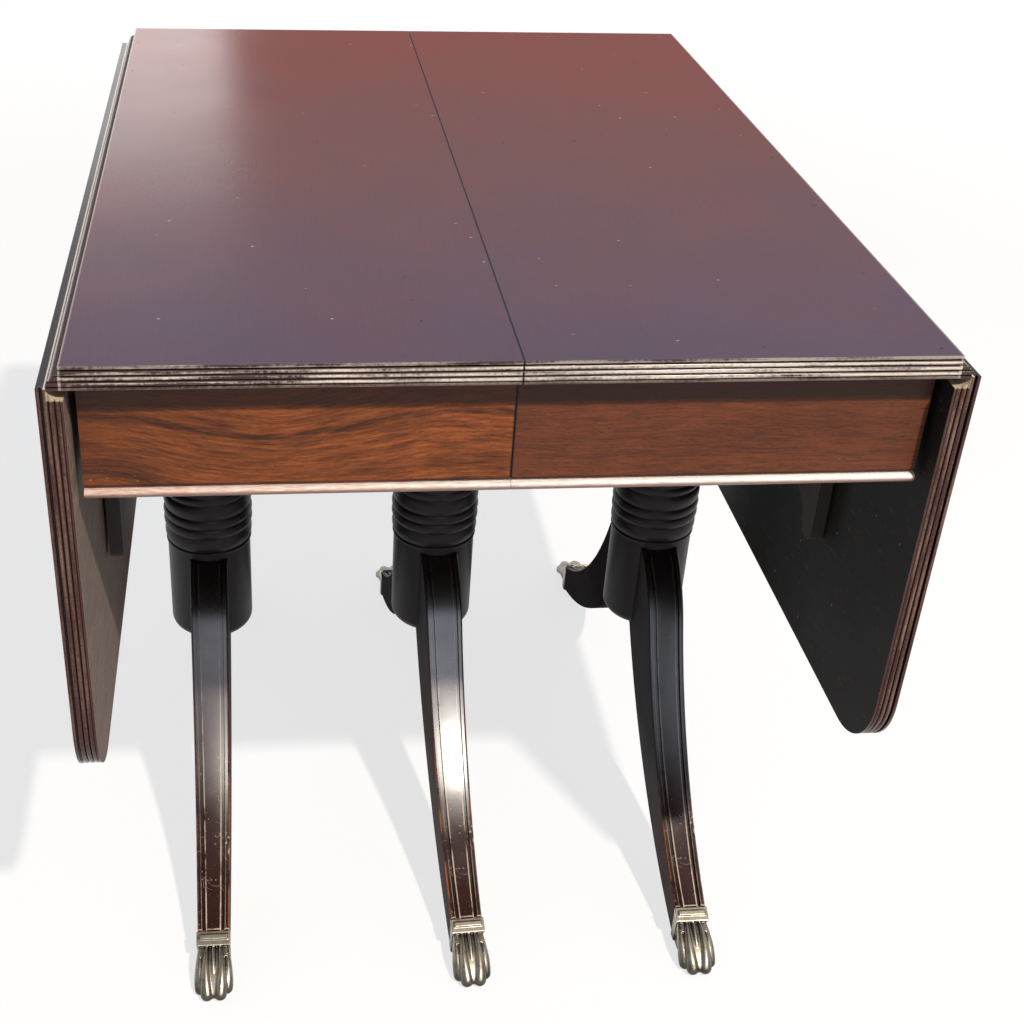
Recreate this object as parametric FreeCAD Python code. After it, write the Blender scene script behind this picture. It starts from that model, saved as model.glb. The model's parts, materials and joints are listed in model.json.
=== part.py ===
import FreeCAD, Part
import math
import os

# Drop-leaf extension table on three pedestals, closed and with both leaves down.
# Millimetres and degrees. X runs from left to right, Y from front to back, Z up from the floor.

# Top and leaves
table_height = 750.0
top_width = 660.0  # between the two lines of leaf pins
top_depth = 914.0
board = 19.0
seam_gap = 0.4
leaf_length = 380.0  # from the pin line to the leaf's lower edge
leaf_corner = 65.0

# Moulded edge, from the top down: arris, quirk, reeds, lower arris
arris = 2.5
edge_quirk = 1.3
edge_quirk_depth = 3.0
lower_arris = 2.0
reed_count = 3
spare = 1.0  # stock that the moulding cutter takes off

# Rule joint and its hinges
joint_step = 7.5  # square step above the ovolo
joint_gap = 0.4
hinge_plate = 2.0
hinge_width = 38.0
hinge_barrel = 4.0
hinge_pin = 2.0
hinge_knuckles = 3
pin_clear = 0.04
knuckle_gap = 0.3
top_wing = 38.0
leaf_wing = 62.0
hinge_inset = 127.0  # from the table's ends to the outer hinges
recess_clear = 0.3

# Frame under each half of the top
apron_height = 100.0  # with its bead
apron_thick = 19.0
apron_setback = 20.0
apron_inset = 8.0  # from the pin line to the apron's end
bead = 9.0  # with its quirk
bead_quirk = 1.5
bead_quirk_depth = 2.0
rail_inset = 20.0
rail_thick = 14.0
block_leg = 40.0

# Extension runners: a left, a centre and a right one, side by side in each of two sets
set_spread = 150.0  # from the middle of the table to the middle of a set
runner_width = 22.0
runner_height = 44.0
runner_stop = 4.0  # from a side runner's end to the far bearer
centre_runner_length = 490.0
tongue = 8.0
tongue_height = 12.0
run_clear = 0.5

# Bearers over the columns
bearer_edge = 1.0  # how far they stand past the columns' sides
bearer_thick = 32.0
bearer_pad = 6.0  # raised seats that carry the centre runners clear of the others
bearer_chamfer = 6.0
fit_clear = 0.1

# Columns
column_radius = 45.0
column_bottom = 203.0
column_round = 12.0
collar_bottom = 316.0
collar_crown = 1.7  # how far the collar's middle swells out
collar_ring = 1.3  # how far each ring stands out of that
ring_heights = (4.0, 17.0, 12.0, 12.0, 18.0, 10.0)  # from the bottom up
tenon_radius = 25.0
centre_turn = 2.0  # the centre pedestal stands a little askew

# Sabre legs: reach is measured out from the column's axis
leg_width = 41.0
foot_width = 32.5
leg_top = 310.0
knee_reach = 105.0
knee_height = 253.0
ankle_reach = 322.0
ankle_top = 41.0
ankle_bottom = 6.0
sweep_hollow = 25.0
under_hollow = 26.0
leg_bead = 5.0
leg_groove = 3.6
leg_arris = 2.0  # rounding of the bead's outer edge
groove_depth = 2.5
key_depth = 15.0
key_width = 14.0
key_spread = 20.0
key_top = 296.0
key_lap = 2.5  # how far it runs on into the leg

# Brass paw caps
paw_length = 61.0
paw_wall = 2.5
bar_radius = 4.0
bar_set = 6.0
knuckle_set = 14.0
knuckle_height = 35.0
tendon_spread = 7.8
tendon_radius = 4.0
tendon_end = 2.2
toe_radius = 6.2
toe_height = 16.0
nail_inset = 0.4
inner_toe = 7.0  # from the paw's middle to an inner toe's tip
inner_toe_set = 14.0  # how far below the knuckle it starts
outer_toe = 14.2
outer_toe_back = 13.0
web = 2.2  # how deep the toes stand out of the paw's body
socket_length = 18.0
socket_cover = 14.0  # brass over the leg's tongue
socket_floor = 6.0  # and under it, from the ankle's lower edge

# Leaf stays: wooden arms that hang behind the leaf and swing up under it
stay_inset = 202.0  # from the table's ends
stay_width = 70.0
stay_nose = 26.0
stay_thick = 12.0
stay_wave = 4.3  # depth of the ogee's two curves
stay_length = 200.0
stay_drop = 58.0  # pivot below the leaf pins
stay_pin = 3.0
ear_thick = 3.0
ear_clear = 0.5
ear_edge = 2.0
ear_foot = 18.0

# Dowels across the seam
dowel_radius = 5.0
dowel_length = 42.0
dowel_reach = 18.0
dowel_clear = 0.3
dowel_inset = 87.0  # from the table's ends to the outer dowels
dowel_spread = 100.0  # from the middle to the inner ones

# Turn-button locks across the seam
lock_inset = 157.0  # from the table's ends
lock_plate = 2.0
lock_base_length = 30.0
lock_base_width = 24.0
lock_pivot = 18.0  # from the seam to the pivot
lock_post = 3.0
lock_head = 5.5
lock_head_thick = 1.5
lever_length = 46.0
lever_tail = 16.0
lever_width = 12.0
lever_thick = 3.0
lever_tab = 7.0
lever_clear = 0.3
keeper_start = 8.0
keeper_width = 20.0
keeper_web = 6.0

# Heights and lines that follow from those sizes
underside = table_height - board
pin_x = top_width / 2
pin_z = underside + hinge_plate
ovolo = board - joint_step - hinge_plate
cove = ovolo + joint_gap
reed = (board - arris - edge_quirk - lower_arris) / (2 * reed_count)
front_edge = top_depth / 2
apron_face = front_edge - apron_setback
apron_back = apron_face - apron_thick
apron_bottom = underside - apron_height
apron_end = pin_x - apron_inset
rail_face = pin_x - rail_inset
rail_inner = rail_face - rail_thick
leaf_inner = pin_x - hinge_plate
half_seam = seam_gap / 2
runner_top = underside - run_clear
runner_bottom = runner_top - runner_height
bearer_top = runner_bottom - run_clear
centre_bearer_top = runner_bottom - bearer_pad
bearer_width = 2 * (column_radius + bearer_edge)
pedestal_x = rail_inner - bearer_width / 2
runner_lap = pedestal_x - bearer_width / 2 - runner_stop  # past the seam
collar_height = sum(ring_heights)
hinge_places = (-front_edge + hinge_inset, 0.0, front_edge - hinge_inset)
stay_x = (rail_face + leaf_inner) / 2
stay_z = pin_z - stay_drop
stay_spread = front_edge - stay_inset
stay_places = (-stay_spread, stay_spread)
lock_spread = front_edge - lock_inset
dowel_ends = (dowel_spread, front_edge - dowel_inset)
toe_reach = ankle_reach + paw_length


def vec(x, y, z):
    return FreeCAD.Vector(x, y, z)


def box(x0, x1, y0, y1, z0, z1):
    return Part.makeBox(x1 - x0, y1 - y0, z1 - z0, vec(x0, y0, z0))


def rod(radius, start, along):
    return Part.makeCylinder(radius, along.Length, start, along)


def on_xy(u, v):
    return vec(u, v, 0)


def on_xz(u, v):
    return vec(u, 0, v)


def on_yz(u, v):
    return vec(0, u, v)


# An outline is a list of steps. Two numbers go straight to a point, four go by an arc
# through the first pair to the second.
def wire(steps, place):
    edges = []
    here = place(*steps[0])
    for step in steps[1:] + steps[:1]:
        there = place(*step[-2:])
        if len(step) == 4:
            edges.append(Part.Arc(here, place(*step[:2]), there).toShape())
        else:
            edges.append(Part.LineSegment(here, there).toShape())
        here = there
    return Part.Wire(edges)


def solid(steps, place, along):
    return Part.Face(wire(steps, place)).extrude(along)


def reverse(steps):
    back = [steps[-1][-2:]]
    for here, after in zip(steps[-2::-1], steps[:0:-1]):
        back.append(after[:-2] + here[-2:])
    return back


# The step of an arc from one point to another that bulges to the left by some height.
def arc_step(start, end, bulge):
    across = end[0] - start[0]
    up = end[1] - start[1]
    chord = math.hypot(across, up)
    middle_x = (start[0] + end[0]) / 2
    middle_y = (start[1] + end[1]) / 2
    return (middle_x - bulge * up / chord, middle_y + bulge * across / chord) + end


def mirrored(shape):
    return shape.mirror(vec(0, 0, 0), vec(1, 0, 0))


# Steps down a moulded edge that reaches out to a line, facing out (1 or -1).
def moulding(edge, out, top):
    quirk_line = edge - out * edge_quirk_depth
    reed_line = edge - out * reed
    height = top - arris
    steps = [(edge, top), (edge, height), (quirk_line, height)]
    height -= edge_quirk
    steps += [(quirk_line, height), (reed_line, height)]
    for count in range(reed_count):
        steps.append((edge, height - reed, reed_line, height - 2 * reed))
        height -= 2 * reed
    return steps + [(edge, height), (edge, top - board)]


# Right half of the top: the moulded section along X, cut to the ovolo along Y.
def top_half():
    section = reverse(moulding(-front_edge, -1, table_height)) + moulding(front_edge, 1, table_height)
    plank = solid(section, on_yz, vec(pin_x + ovolo, 0, 0))
    half_arc = ovolo * math.sqrt(0.5)
    joint = [
        (half_seam, underside),
        (half_seam, table_height),
        (pin_x, table_height),
        (pin_x, table_height - joint_step),
        (pin_x + half_arc, pin_z + half_arc, pin_x + ovolo, pin_z),
        (pin_x + ovolo, underside),
    ]
    shape = plank.common(solid(joint, on_xz, vec(0, top_depth, 0)).translated(vec(0, -front_edge, 0)))
    reach = hinge_width / 2 + recess_clear
    for y in hinge_places:
        recess = box(pin_x - top_wing, pin_x + cove, y - reach, y + reach, underside, pin_z)
        groove = rod(hinge_barrel + recess_clear, vec(pin_x, y - reach, pin_z), vec(0, 2 * reach, 0))
        shape = shape.cut(recess).cut(groove)
    return shape


# Right leaf, drawn raised and level with the pin line at the origin, then turned down.
def leaf():
    face = board - hinge_plate
    half_arc = cove * math.sqrt(0.5)
    joint = [
        (joint_gap, face),
        (leaf_length + spare, face),
        (leaf_length + spare, -hinge_plate),
        (cove, -hinge_plate),
        (cove, 0.0),
        (half_arc, half_arc, joint_gap, math.sqrt(cove**2 - joint_gap**2)),
    ]
    reach = front_edge + spare
    slab = solid(joint, on_xz, vec(0, 2 * reach, 0)).translated(vec(0, -reach, 0))
    turn = leaf_corner * (1 - math.sqrt(0.5))
    straight = leaf_length - leaf_corner
    corner = front_edge - leaf_corner
    bend = leaf_length - turn
    side = front_edge - turn
    path = Part.Wire([
        Part.LineSegment(vec(-board, -front_edge, 0), vec(straight, -front_edge, 0)).toShape(),
        Part.Arc(vec(straight, -front_edge, 0), vec(bend, -side, 0), vec(leaf_length, -corner, 0)).toShape(),
        Part.LineSegment(vec(leaf_length, -corner, 0), vec(leaf_length, corner, 0)).toShape(),
        Part.Arc(vec(leaf_length, corner, 0), vec(bend, side, 0), vec(straight, front_edge, 0)).toShape(),
        Part.LineSegment(vec(straight, front_edge, 0), vec(-board, front_edge, 0)).toShape(),
    ])
    outside = leaf_corner / 2
    low = -hinge_plate - spare
    high = face + spare
    cutter = moulding(0.0, 1, face)[:-1]
    cutter += [(0.0, low), (outside, low), (outside, high), (0.0, high)]
    section = wire(cutter, lambda u, v: vec(-board, -front_edge - u, v))
    shape = slab.cut(path.makePipeShell([section], True, False))
    half = hinge_width / 2 + recess_clear
    for y in hinge_places:
        shape = shape.cut(box(0, leaf_wing, y - half, y + half, -hinge_plate, 0))
    return hung(shape)


# Turns a raised right leaf's piece down and moves it to the right pin line.
def hung(shape):
    low = shape.copy()
    low.rotate(vec(0, 0, 0), vec(0, 1, 0), 90)
    return low.translated(vec(pin_x, 0, pin_z))


# One wing of a hinge, drawn level to the right of the pin, with its knuckles.
def wing(length, knuckles):
    half = hinge_width / 2
    start = hinge_barrel + joint_gap
    shape = box(start, length, -half, half, -hinge_plate, 0)
    for low, high in knuckles:
        neck = box(0, start, low, high, -hinge_plate, 0)
        shape = shape.fuse(neck).fuse(rod(hinge_barrel, vec(0, low, 0), vec(0, high - low, 0)))
    return shape.cut(rod(hinge_pin + pin_clear, vec(0, -half, 0), vec(0, hinge_width, 0))).removeSplitter()


# The three hinges of the right leaf, as top wings, leaf wings and pins.
def hinges():
    half = hinge_width / 2
    inner = half / hinge_knuckles
    outer_knuckles = ((-half, -inner - knuckle_gap), (inner + knuckle_gap, half))
    fixed = mirrored(wing(top_wing, outer_knuckles)).translated(vec(pin_x, 0, pin_z))
    swung = hung(wing(leaf_wing, ((-inner, inner),)))
    pin = rod(hinge_pin, vec(pin_x, -half, pin_z), vec(0, hinge_width, 0))
    kinds = (fixed, swung, pin)
    return [Part.makeCompound([kind.translated(vec(0, y, 0)) for y in hinge_places]) for kind in kinds]


# Right half of the front apron and of its bead. The back ones are the same, turned round.
def apron():
    return box(half_seam, apron_end, -apron_face, -apron_back, apron_bottom + bead, underside)


def apron_bead():
    nose = (bead - bead_quirk) / 2
    quirk_line = -apron_face + bead_quirk_depth
    steps = [
        (-apron_back, apron_bottom),
        (-apron_back, apron_bottom + bead),
        (quirk_line, apron_bottom + bead),
        (quirk_line, apron_bottom + 2 * nose),
        (-apron_face, apron_bottom + 2 * nose),
        (-apron_face - nose, apron_bottom + nose, -apron_face, apron_bottom),
    ]
    return solid(steps, on_yz, vec(apron_end - half_seam, 0, 0)).translated(vec(half_seam, 0, 0))


def front_to_back(shape):
    return shape.mirror(vec(0, 0, 0), vec(0, 1, 0))


def side_rail():
    return box(rail_inner, rail_face, -apron_back, apron_back, apron_bottom, underside)


def corner_blocks():
    tip = rail_inner - block_leg
    steps = [(rail_inner, -apron_back), (tip, -apron_back), (rail_inner, block_leg - apron_back)]
    block = solid(steps, on_xy, vec(0, 0, underside - bearer_top)).translated(vec(0, 0, bearer_top))
    return Part.makeCompound([block, front_to_back(block)])


# A plank with chamfered lower edges and a hole for a column's tenon.
def bearer(x, half_length, top):
    half = bearer_width / 2
    low = top - bearer_thick
    steps = [
        (x - half, top),
        (x + half, top),
        (x + half, low + bearer_chamfer),
        (x + half - bearer_chamfer, low),
        (x - half + bearer_chamfer, low),
        (x - half, low + bearer_chamfer),
    ]
    plank = solid(steps, on_xz, vec(0, 2 * half_length, 0)).translated(vec(0, -half_length, 0))
    return plank.cut(rod(tenon_radius + fit_clear, vec(x, 0, low), vec(0, 0, bearer_thick)))


# A side runner lies to one side of its set's centre runner (-1 or 1) and is grooved for its tongue.
def side_runner(middle, side, start, end):
    near = middle + side * (runner_width / 2 + run_clear)
    far = near + side * runner_width
    bottom_of_groove = near + side * (tongue + run_clear)
    height = (runner_top + runner_bottom) / 2
    half = tongue_height / 2 + run_clear
    bar = box(start, end, min(near, far), max(near, far), runner_bottom, runner_top)
    low, high = sorted((near, bottom_of_groove))
    return bar.cut(box(start, end, low, high, height - half, height + half))


def centre_runner(middle):
    reach = centre_runner_length / 2
    half = runner_width / 2
    height = (runner_top + runner_bottom) / 2
    bar = box(-reach, reach, middle - half, middle + half, runner_bottom, runner_top)
    fin = half + run_clear + tongue
    lip = tongue_height / 2
    tongues = box(-reach, reach, middle - fin, middle + fin, height - lip, height + lip)
    return bar.fuse(tongues).removeSplitter()


# Centre bearer with a raised seat for each centre runner.
def centre_bearer():
    side = bearer_width / 2
    half = runner_width / 2
    shape = bearer(0, set_spread + half + run_clear + tongue, centre_bearer_top)
    for middle in (-set_spread, set_spread):
        shape = shape.fuse(box(-side, side, middle - half, middle + half, centre_bearer_top, runner_bottom))
    return shape.removeSplitter()


# How far the collar swells out at a height above its lower edge.
def swell(height):
    return collar_crown * math.sin(math.pi * height / collar_height)


# Turned column: rounded foot, plain drum, collar of rings, neck, and a tenon for the bearer.
def column(shoulder, tenon_top, grow):
    radius = column_radius + grow
    foot = column_bottom - grow
    curve = column_round * (1 - math.sqrt(0.5))
    steps = [
        (0.0, foot),
        (radius - column_round, foot),
        (radius - curve, foot + curve, radius, foot + column_round),
        (radius, collar_bottom),
    ]
    low = 0.0
    for ring in ring_heights:
        crest = radius + collar_ring + swell(low + ring / 2)
        low += ring
        steps.append((crest, collar_bottom + low - ring / 2, radius + swell(low) / 2, collar_bottom + low))
    steps += [
        (radius, shoulder),
        (tenon_radius, shoulder),
        (tenon_radius, tenon_top),
        (0.0, tenon_top),
    ]
    return Part.Face(wire(steps, on_xz)).revolve(vec(0, 0, 0), vec(0, 0, 1), 360)


# Dovetail key that holds a leg in its column, reaching out along +Y.
def key(grow, bottom):
    root = column_radius - key_depth - grow
    mouth = key_width / 2 + grow
    tail = key_spread / 2 + grow
    out = column_radius + key_lap
    steps = [(-tail, root), (tail, root), (mouth, out), (-mouth, out)]
    return solid(steps, on_xy, vec(0, 0, key_top + grow - bottom)).translated(vec(0, 0, bottom))


# A slice along a leg that stays the same distance from its tapering sides.
def leg_slice(inner, outer):
    taper = (leg_width - foot_width) / 2 / (ankle_reach - column_radius)
    near = leg_width / 2 + taper * column_radius
    far = near - taper * toe_reach
    steps = [(near - outer, 0.0), (near - inner, 0.0), (far - inner, toe_reach), (far - outer, toe_reach)]
    return solid(steps, on_xy, vec(0, 0, table_height))


# Side view of a leg, from the column's axis out to the ankle.
def leg_side():
    root = column_radius - key_depth
    knee = (knee_reach, knee_height)
    ankle = (ankle_reach, ankle_top)
    start = (column_radius, leg_top)
    sweep_chord = math.dist(knee, ankle)
    sweep_slope = math.atan2(ankle[1] - knee[1], ankle[0] - knee[0])
    sweep_start = sweep_slope - 2 * math.atan(2 * sweep_hollow / sweep_chord)
    shoulder_turn = math.atan2(knee[1] - start[1], knee[0] - start[0]) - sweep_start
    shoulder = math.dist(start, knee) / 2 * math.tan(shoulder_turn / 2)
    heel = (ankle_reach, ankle_bottom)
    under = (column_radius - column_round, column_bottom)
    return [
        (root, leg_top),
        start,
        arc_step(start, knee, shoulder),
        arc_step(knee, ankle, -sweep_hollow),
        heel,
        arc_step(heel, under, under_hollow),
        (root, column_bottom),
    ]


# Says whether an edge of the blank runs along the top of its outer side.
def on_rim(edge):
    middle = edge.valueAt((edge.FirstParameter + edge.LastParameter) / 2)
    curved = edge.Length > leg_width
    above = middle.z > ankle_top + (ankle_reach - middle.y) * (knee_height - ankle_top) / toe_reach
    return curved and above and middle.x > leg_bead and middle.y > column_radius


# Sabre leg, reaching out along +Y: raised panel between two grooves, key at the root, tongue at the foot.
def leg():
    half = leg_width
    blank = solid(leg_side(), on_yz, vec(2 * half, 0, 0)).translated(vec(-half, 0, 0))
    chord = vec(0, ankle_reach - knee_reach, ankle_top - knee_height).normalize()
    inward = vec(0, chord.z, -chord.y) * groove_depth
    skin = blank.cut(blank.translated(inward))
    groove = skin.common(leg_slice(leg_bead, leg_bead + leg_groove))
    body = blank.common(leg_slice(0.0, leg_width / 2))
    rim = [edge for edge in body.Edges if on_rim(edge)]
    body = body.makeFillet(leg_arris, rim).cut(groove)
    body = body.fuse(mirrored(body)).removeSplitter()
    body = body.cut(column(apron_bottom, underside, fit_clear))
    half = foot_width / 2 - paw_wall
    low = ankle_bottom + socket_floor
    foot = box(-half, half, ankle_reach, ankle_reach + socket_length, low, ankle_top - socket_cover)
    bottom = column_bottom + column_round
    return body.fuse(key(0.0, bottom)).fuse(foot).removeSplitter()


# A round-ended taper between two points: the body of a toe, or of the tendon above it.
def tapered_rod(start, end, first, last):
    length = (end - start).Length
    steps = [
        (0.0, -first),
        (first * math.sqrt(0.5), -first * math.sqrt(0.5), first, 0.0),
        (last, length),
        (last * math.sqrt(0.5), length + last * math.sqrt(0.5), 0.0, length + last),
    ]
    shape = Part.Face(wire(steps, on_xz)).revolve(vec(0, 0, 0), vec(0, 0, 1), 360)
    shape.Placement = FreeCAD.Placement(start, FreeCAD.Rotation(vec(0, 0, 1), end - start))
    return shape


# A toe comes off the paw's crest some way below the knuckle and ends in a nail that stands on the floor.
def toe(root_x, tip_x, below, back):
    fall = (knuckle_height - toe_height) / (paw_length - knuckle_set - toe_radius)
    root = vec(root_x, ankle_reach + knuckle_set + below, knuckle_height - tendon_radius - fall * below)
    tip = vec(tip_x, toe_reach - back - toe_radius, toe_height - toe_radius)
    nail = rod(toe_radius - nail_inset, vec(tip.x, tip.y, 0), vec(0, 0, tip.z))
    return tapered_rod(root, tip, tendon_radius, toe_radius).fuse(nail)


# Paw cap, reaching out along +Y: socket with a rounded bar, then tendons that spread into four toes.
def paw():
    neck = foot_width / 2
    front = toe_reach - web
    side = [
        (ankle_reach, ankle_bottom),
        (ankle_reach, ankle_top),
        (ankle_reach + bar_set, ankle_top),
        (ankle_reach + knuckle_set - web, knuckle_height - web),
        (front - toe_radius, toe_height - web),
        (front, toe_height - web - toe_radius),
        (front, 0.0),
        (ankle_reach + bar_set, 0.0),
    ]
    shape = solid(side, on_yz, vec(4 * neck, 0, 0)).translated(vec(-2 * neck, 0, 0))
    flank = (outer_toe + toe_radius - web, toe_reach - outer_toe_back - toe_radius)
    start = (neck, ankle_reach + knuckle_set)
    plan = [(neck, ankle_reach), start, flank, (inner_toe, front), (-inner_toe, front)]
    plan += [(-x, y) for x, y in (flank, start, (neck, ankle_reach))]
    shape = shape.common(solid(plan, on_xy, vec(0, 0, table_height)))
    for out in (-1, 1):
        shape = shape.fuse(toe(out * tendon_spread, out * outer_toe, 0.0, outer_toe_back))
        shape = shape.fuse(toe(out * inner_toe, out * inner_toe, inner_toe_set, 0.0))
    root = vec(0, ankle_reach + knuckle_set, knuckle_height - tendon_radius)
    end = vec(0, front - toe_radius, toe_height - toe_radius)
    shape = shape.fuse(tapered_rod(root, end, tendon_radius, tendon_end))
    bar = rod(bar_radius, vec(-neck, ankle_reach + bar_set, ankle_top - bar_radius / 2), vec(2 * neck, 0, 0))
    return shape.fuse(bar).cut(leg()).removeSplitter()


# Turns a piece that reaches out along +Y to the front or back of a pedestal.
def set_out(shape, x, turn, end):
    placed = shape.copy()
    placed.rotate(vec(0, 0, 0), vec(0, 0, 1), turn + (180 if end == "front" else 0))
    return placed.translated(vec(x, 0, 0))


def pedestal(side, x, turn, shoulder, tenon_top):
    post = column(shoulder, tenon_top, 0.0)
    pieces = {}
    for end in ("front", "back"):
        post = post.cut(set_out(key(fit_clear, column_bottom - column_round), 0, 0, end))
        pieces[side + "_leg_" + end] = set_out(leg_shape, x, turn, end)
        pieces[side + "_paw_" + end] = set_out(paw_shape, x, turn, end)
    post.rotate(vec(0, 0, 0), vec(0, 0, 1), turn)
    pieces[side + "_column"] = post.translated(vec(x, 0, 0))
    return pieces


# Right front stay at rest: rounded over its pin, tapering to a nose with an ogee on its inner side.
def stay(y):
    half = stay_width / 2
    thick = stay_thick / 2
    bottom = stay_z - stay_length
    upper = [
        (stay_x - thick, bottom),
        (stay_x - thick, stay_z),
        (stay_x, stay_z + thick, stay_x + thick, stay_z),
        (stay_x + thick, bottom),
    ]
    blank = solid(upper, on_xz, vec(0, stay_width, 0)).translated(vec(0, y - half, 0))
    nose = stay_nose / 2
    waist = (y - half + 2 * nose, bottom + nose)
    hip = (y + half, bottom + 2 * stay_nose)
    middle = ((waist[0] + hip[0]) / 2, (waist[1] + hip[1]) / 2)
    side = [
        (y - half, stay_z + stay_thick),
        (y - half, bottom + nose),
        (y - half + nose, bottom) + waist,
        arc_step(waist, middle, stay_wave),
        arc_step(middle, hip, -stay_wave),
        (y + half, stay_z + stay_thick),
    ]
    shape = blank.common(solid(side, on_yz, vec(top_width, 0, 0)))
    return shape.cut(rod(stay_pin + pin_clear, vec(stay_x, y - half, stay_z), vec(0, stay_width, 0)))


# Ears on the rail, one each side of a stay, with a foot that screws to the rail.
def stay_ears(y):
    radius = leaf_inner - stay_x - ear_edge
    steps = [
        (rail_face, stay_z - radius),
        (stay_x, stay_z - radius),
        (stay_x + radius, stay_z, stay_x, stay_z + radius),
        (rail_face, stay_z + radius),
    ]
    ears = []
    for out in (-1, 1):
        near = y + out * (stay_width / 2 + ear_clear)
        plate = solid(steps, on_xz, vec(0, out * ear_thick, 0)).translated(vec(0, near, 0))
        low, high = sorted((near, near + out * ear_foot))
        foot = box(rail_face, rail_face + ear_thick, low, high, stay_z - radius, stay_z + radius)
        hole = rod(stay_pin + pin_clear, vec(stay_x, near, stay_z), vec(0, out * ear_thick, 0))
        ears.append(plate.fuse(foot).cut(hole).removeSplitter())
    return ears


def stay_pin_rod(y):
    reach = stay_width / 2 + ear_clear + ear_thick
    return rod(stay_pin, vec(stay_x, y - reach, stay_z), vec(0, 2 * reach, 0))


def dowel_places():
    return [side * end for side in (-1, 1) for end in dowel_ends]


def seam_dowels(radius):
    height = underside + board / 2
    start = dowel_reach - dowel_length
    rods = [rod(radius, vec(start, y, height), vec(dowel_length, 0, 0)) for y in dowel_places()]
    return Part.makeCompound(rods)


# Lock at the front, drawn at the pivot: base plate with a headed post, and a lever that lies along the seam.
def lock_base(y):
    low = underside - lock_plate
    under_lever = low - lever_thick - 2 * lever_clear
    half = lock_base_width / 2
    left = -lock_pivot - lock_base_length / 2
    plate = box(left, left + lock_base_length, y - half, y + half, low, underside)
    post = rod(lock_post, vec(-lock_pivot, y, under_lever), vec(0, 0, low - under_lever))
    head = rod(lock_head, vec(-lock_pivot, y, under_lever - lock_head_thick), vec(0, 0, lock_head_thick))
    return plate.fuse(post).fuse(head).removeSplitter()


def lock_lever(y, end):
    top = underside - lock_plate - lever_clear
    half = lever_width / 2
    steps = [
        (-half, -lever_tail * end),
        (half, -lever_tail * end),
        (half, (lever_length - half) * end),
        (0.0, lever_length * end, -half, (lever_length - half) * end),
    ]
    bar = solid(steps, on_xy, vec(0, 0, -lever_thick))
    low, high = sorted((-lever_tail * end, (lever_thick - lever_tail) * end))
    tab = box(-half, half, low, high, -lever_thick - lever_tab, -lever_thick)
    shape = bar.fuse(tab).cut(rod(lock_post + pin_clear, vec(0, 0, -lever_thick), vec(0, 0, lever_thick)))
    return shape.removeSplitter().translated(vec(-lock_pivot, y, top))


def lock_keeper(y):
    low = underside - lock_plate
    lip_top = low - lever_thick - 2 * lever_clear
    end = lever_length - lock_pivot + 2 * lever_clear + keeper_web
    half = keeper_width / 2
    steps = [
        (keeper_start, lip_top),
        (keeper_start, lip_top - lock_plate),
        (end, lip_top - lock_plate),
        (end, underside),
        (end - 2 * keeper_web, underside),
        (end - 2 * keeper_web, low),
        (end - keeper_web, low),
        (end - keeper_web, lip_top),
    ]
    return solid(steps, on_xz, vec(0, keeper_width, 0)).translated(vec(0, y - half, 0))


leg_shape = leg()
paw_shape = paw()
parts = {}

# Centre pedestal with its bearer and runners
parts.update(pedestal("centre", 0, centre_turn, centre_bearer_top - bearer_thick, centre_bearer_top))
parts["centre_bearer"] = centre_bearer()
parts["centre_runner_front"] = centre_runner(-set_spread)
parts["centre_runner_back"] = centre_runner(set_spread)

# The two halves, drawn on the right and mirrored to the left
right_top = top_half()
holes = seam_dowels(dowel_radius + dowel_clear)
top_wings, leaf_wings, hinge_pins = hinges()
half_pieces = {
    "apron_front": apron(),
    "apron_back": front_to_back(apron()),
    "bead_front": apron_bead(),
    "bead_back": front_to_back(apron_bead()),
    "side_rail": side_rail(),
    "corner_blocks": corner_blocks(),
    "bearer": bearer(pedestal_x, apron_back, bearer_top),
    "hinge_top_wings": top_wings,
    "hinge_pins": hinge_pins,
    "stay_ears": Part.makeCompound([ear for y in stay_places for ear in stay_ears(y)]),
    "stay_pins": Part.makeCompound([stay_pin_rod(y) for y in stay_places]),
    "leaf": leaf(),
    "hinge_leaf_wings": leaf_wings,
    "stay_front": stay(-stay_spread),
    "stay_back": front_to_back(stay(-stay_spread)),
}
for name, shape in half_pieces.items():
    parts["right_" + name] = shape
    parts["left_" + name] = mirrored(shape)
parts["right_top"] = right_top.cut(holes)
parts["left_top"] = mirrored(right_top).cut(seam_dowels(dowel_radius + fit_clear))
parts["seam_dowels"] = seam_dowels(dowel_radius)
for end, middle in (("front", -set_spread), ("back", set_spread)):
    parts["left_runner_" + end] = side_runner(middle, -1, -rail_inner, runner_lap)
    parts["right_runner_" + end] = side_runner(middle, 1, -runner_lap, rail_inner)
for side, x in (("left", -pedestal_x), ("right", pedestal_x)):
    parts.update(pedestal(side, x, 0.0, bearer_top - bearer_thick, bearer_top))

# Locks under the seam
parts["lock_bases"] = Part.makeCompound([lock_base(-lock_spread), lock_base(lock_spread)])
parts["lock_keepers"] = Part.makeCompound([lock_keeper(-lock_spread), lock_keeper(lock_spread)])
parts["lock_lever_front"] = lock_lever(-lock_spread, -1)
parts["lock_lever_back"] = lock_lever(lock_spread, 1)

os.makedirs("parts", exist_ok=True)
for name, shape in parts.items():
    shape.exportStep("parts/" + name + ".step")
print(len(parts), "pieces")
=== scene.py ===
import bpy
import json
import math
from mathutils import Matrix, Vector


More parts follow.
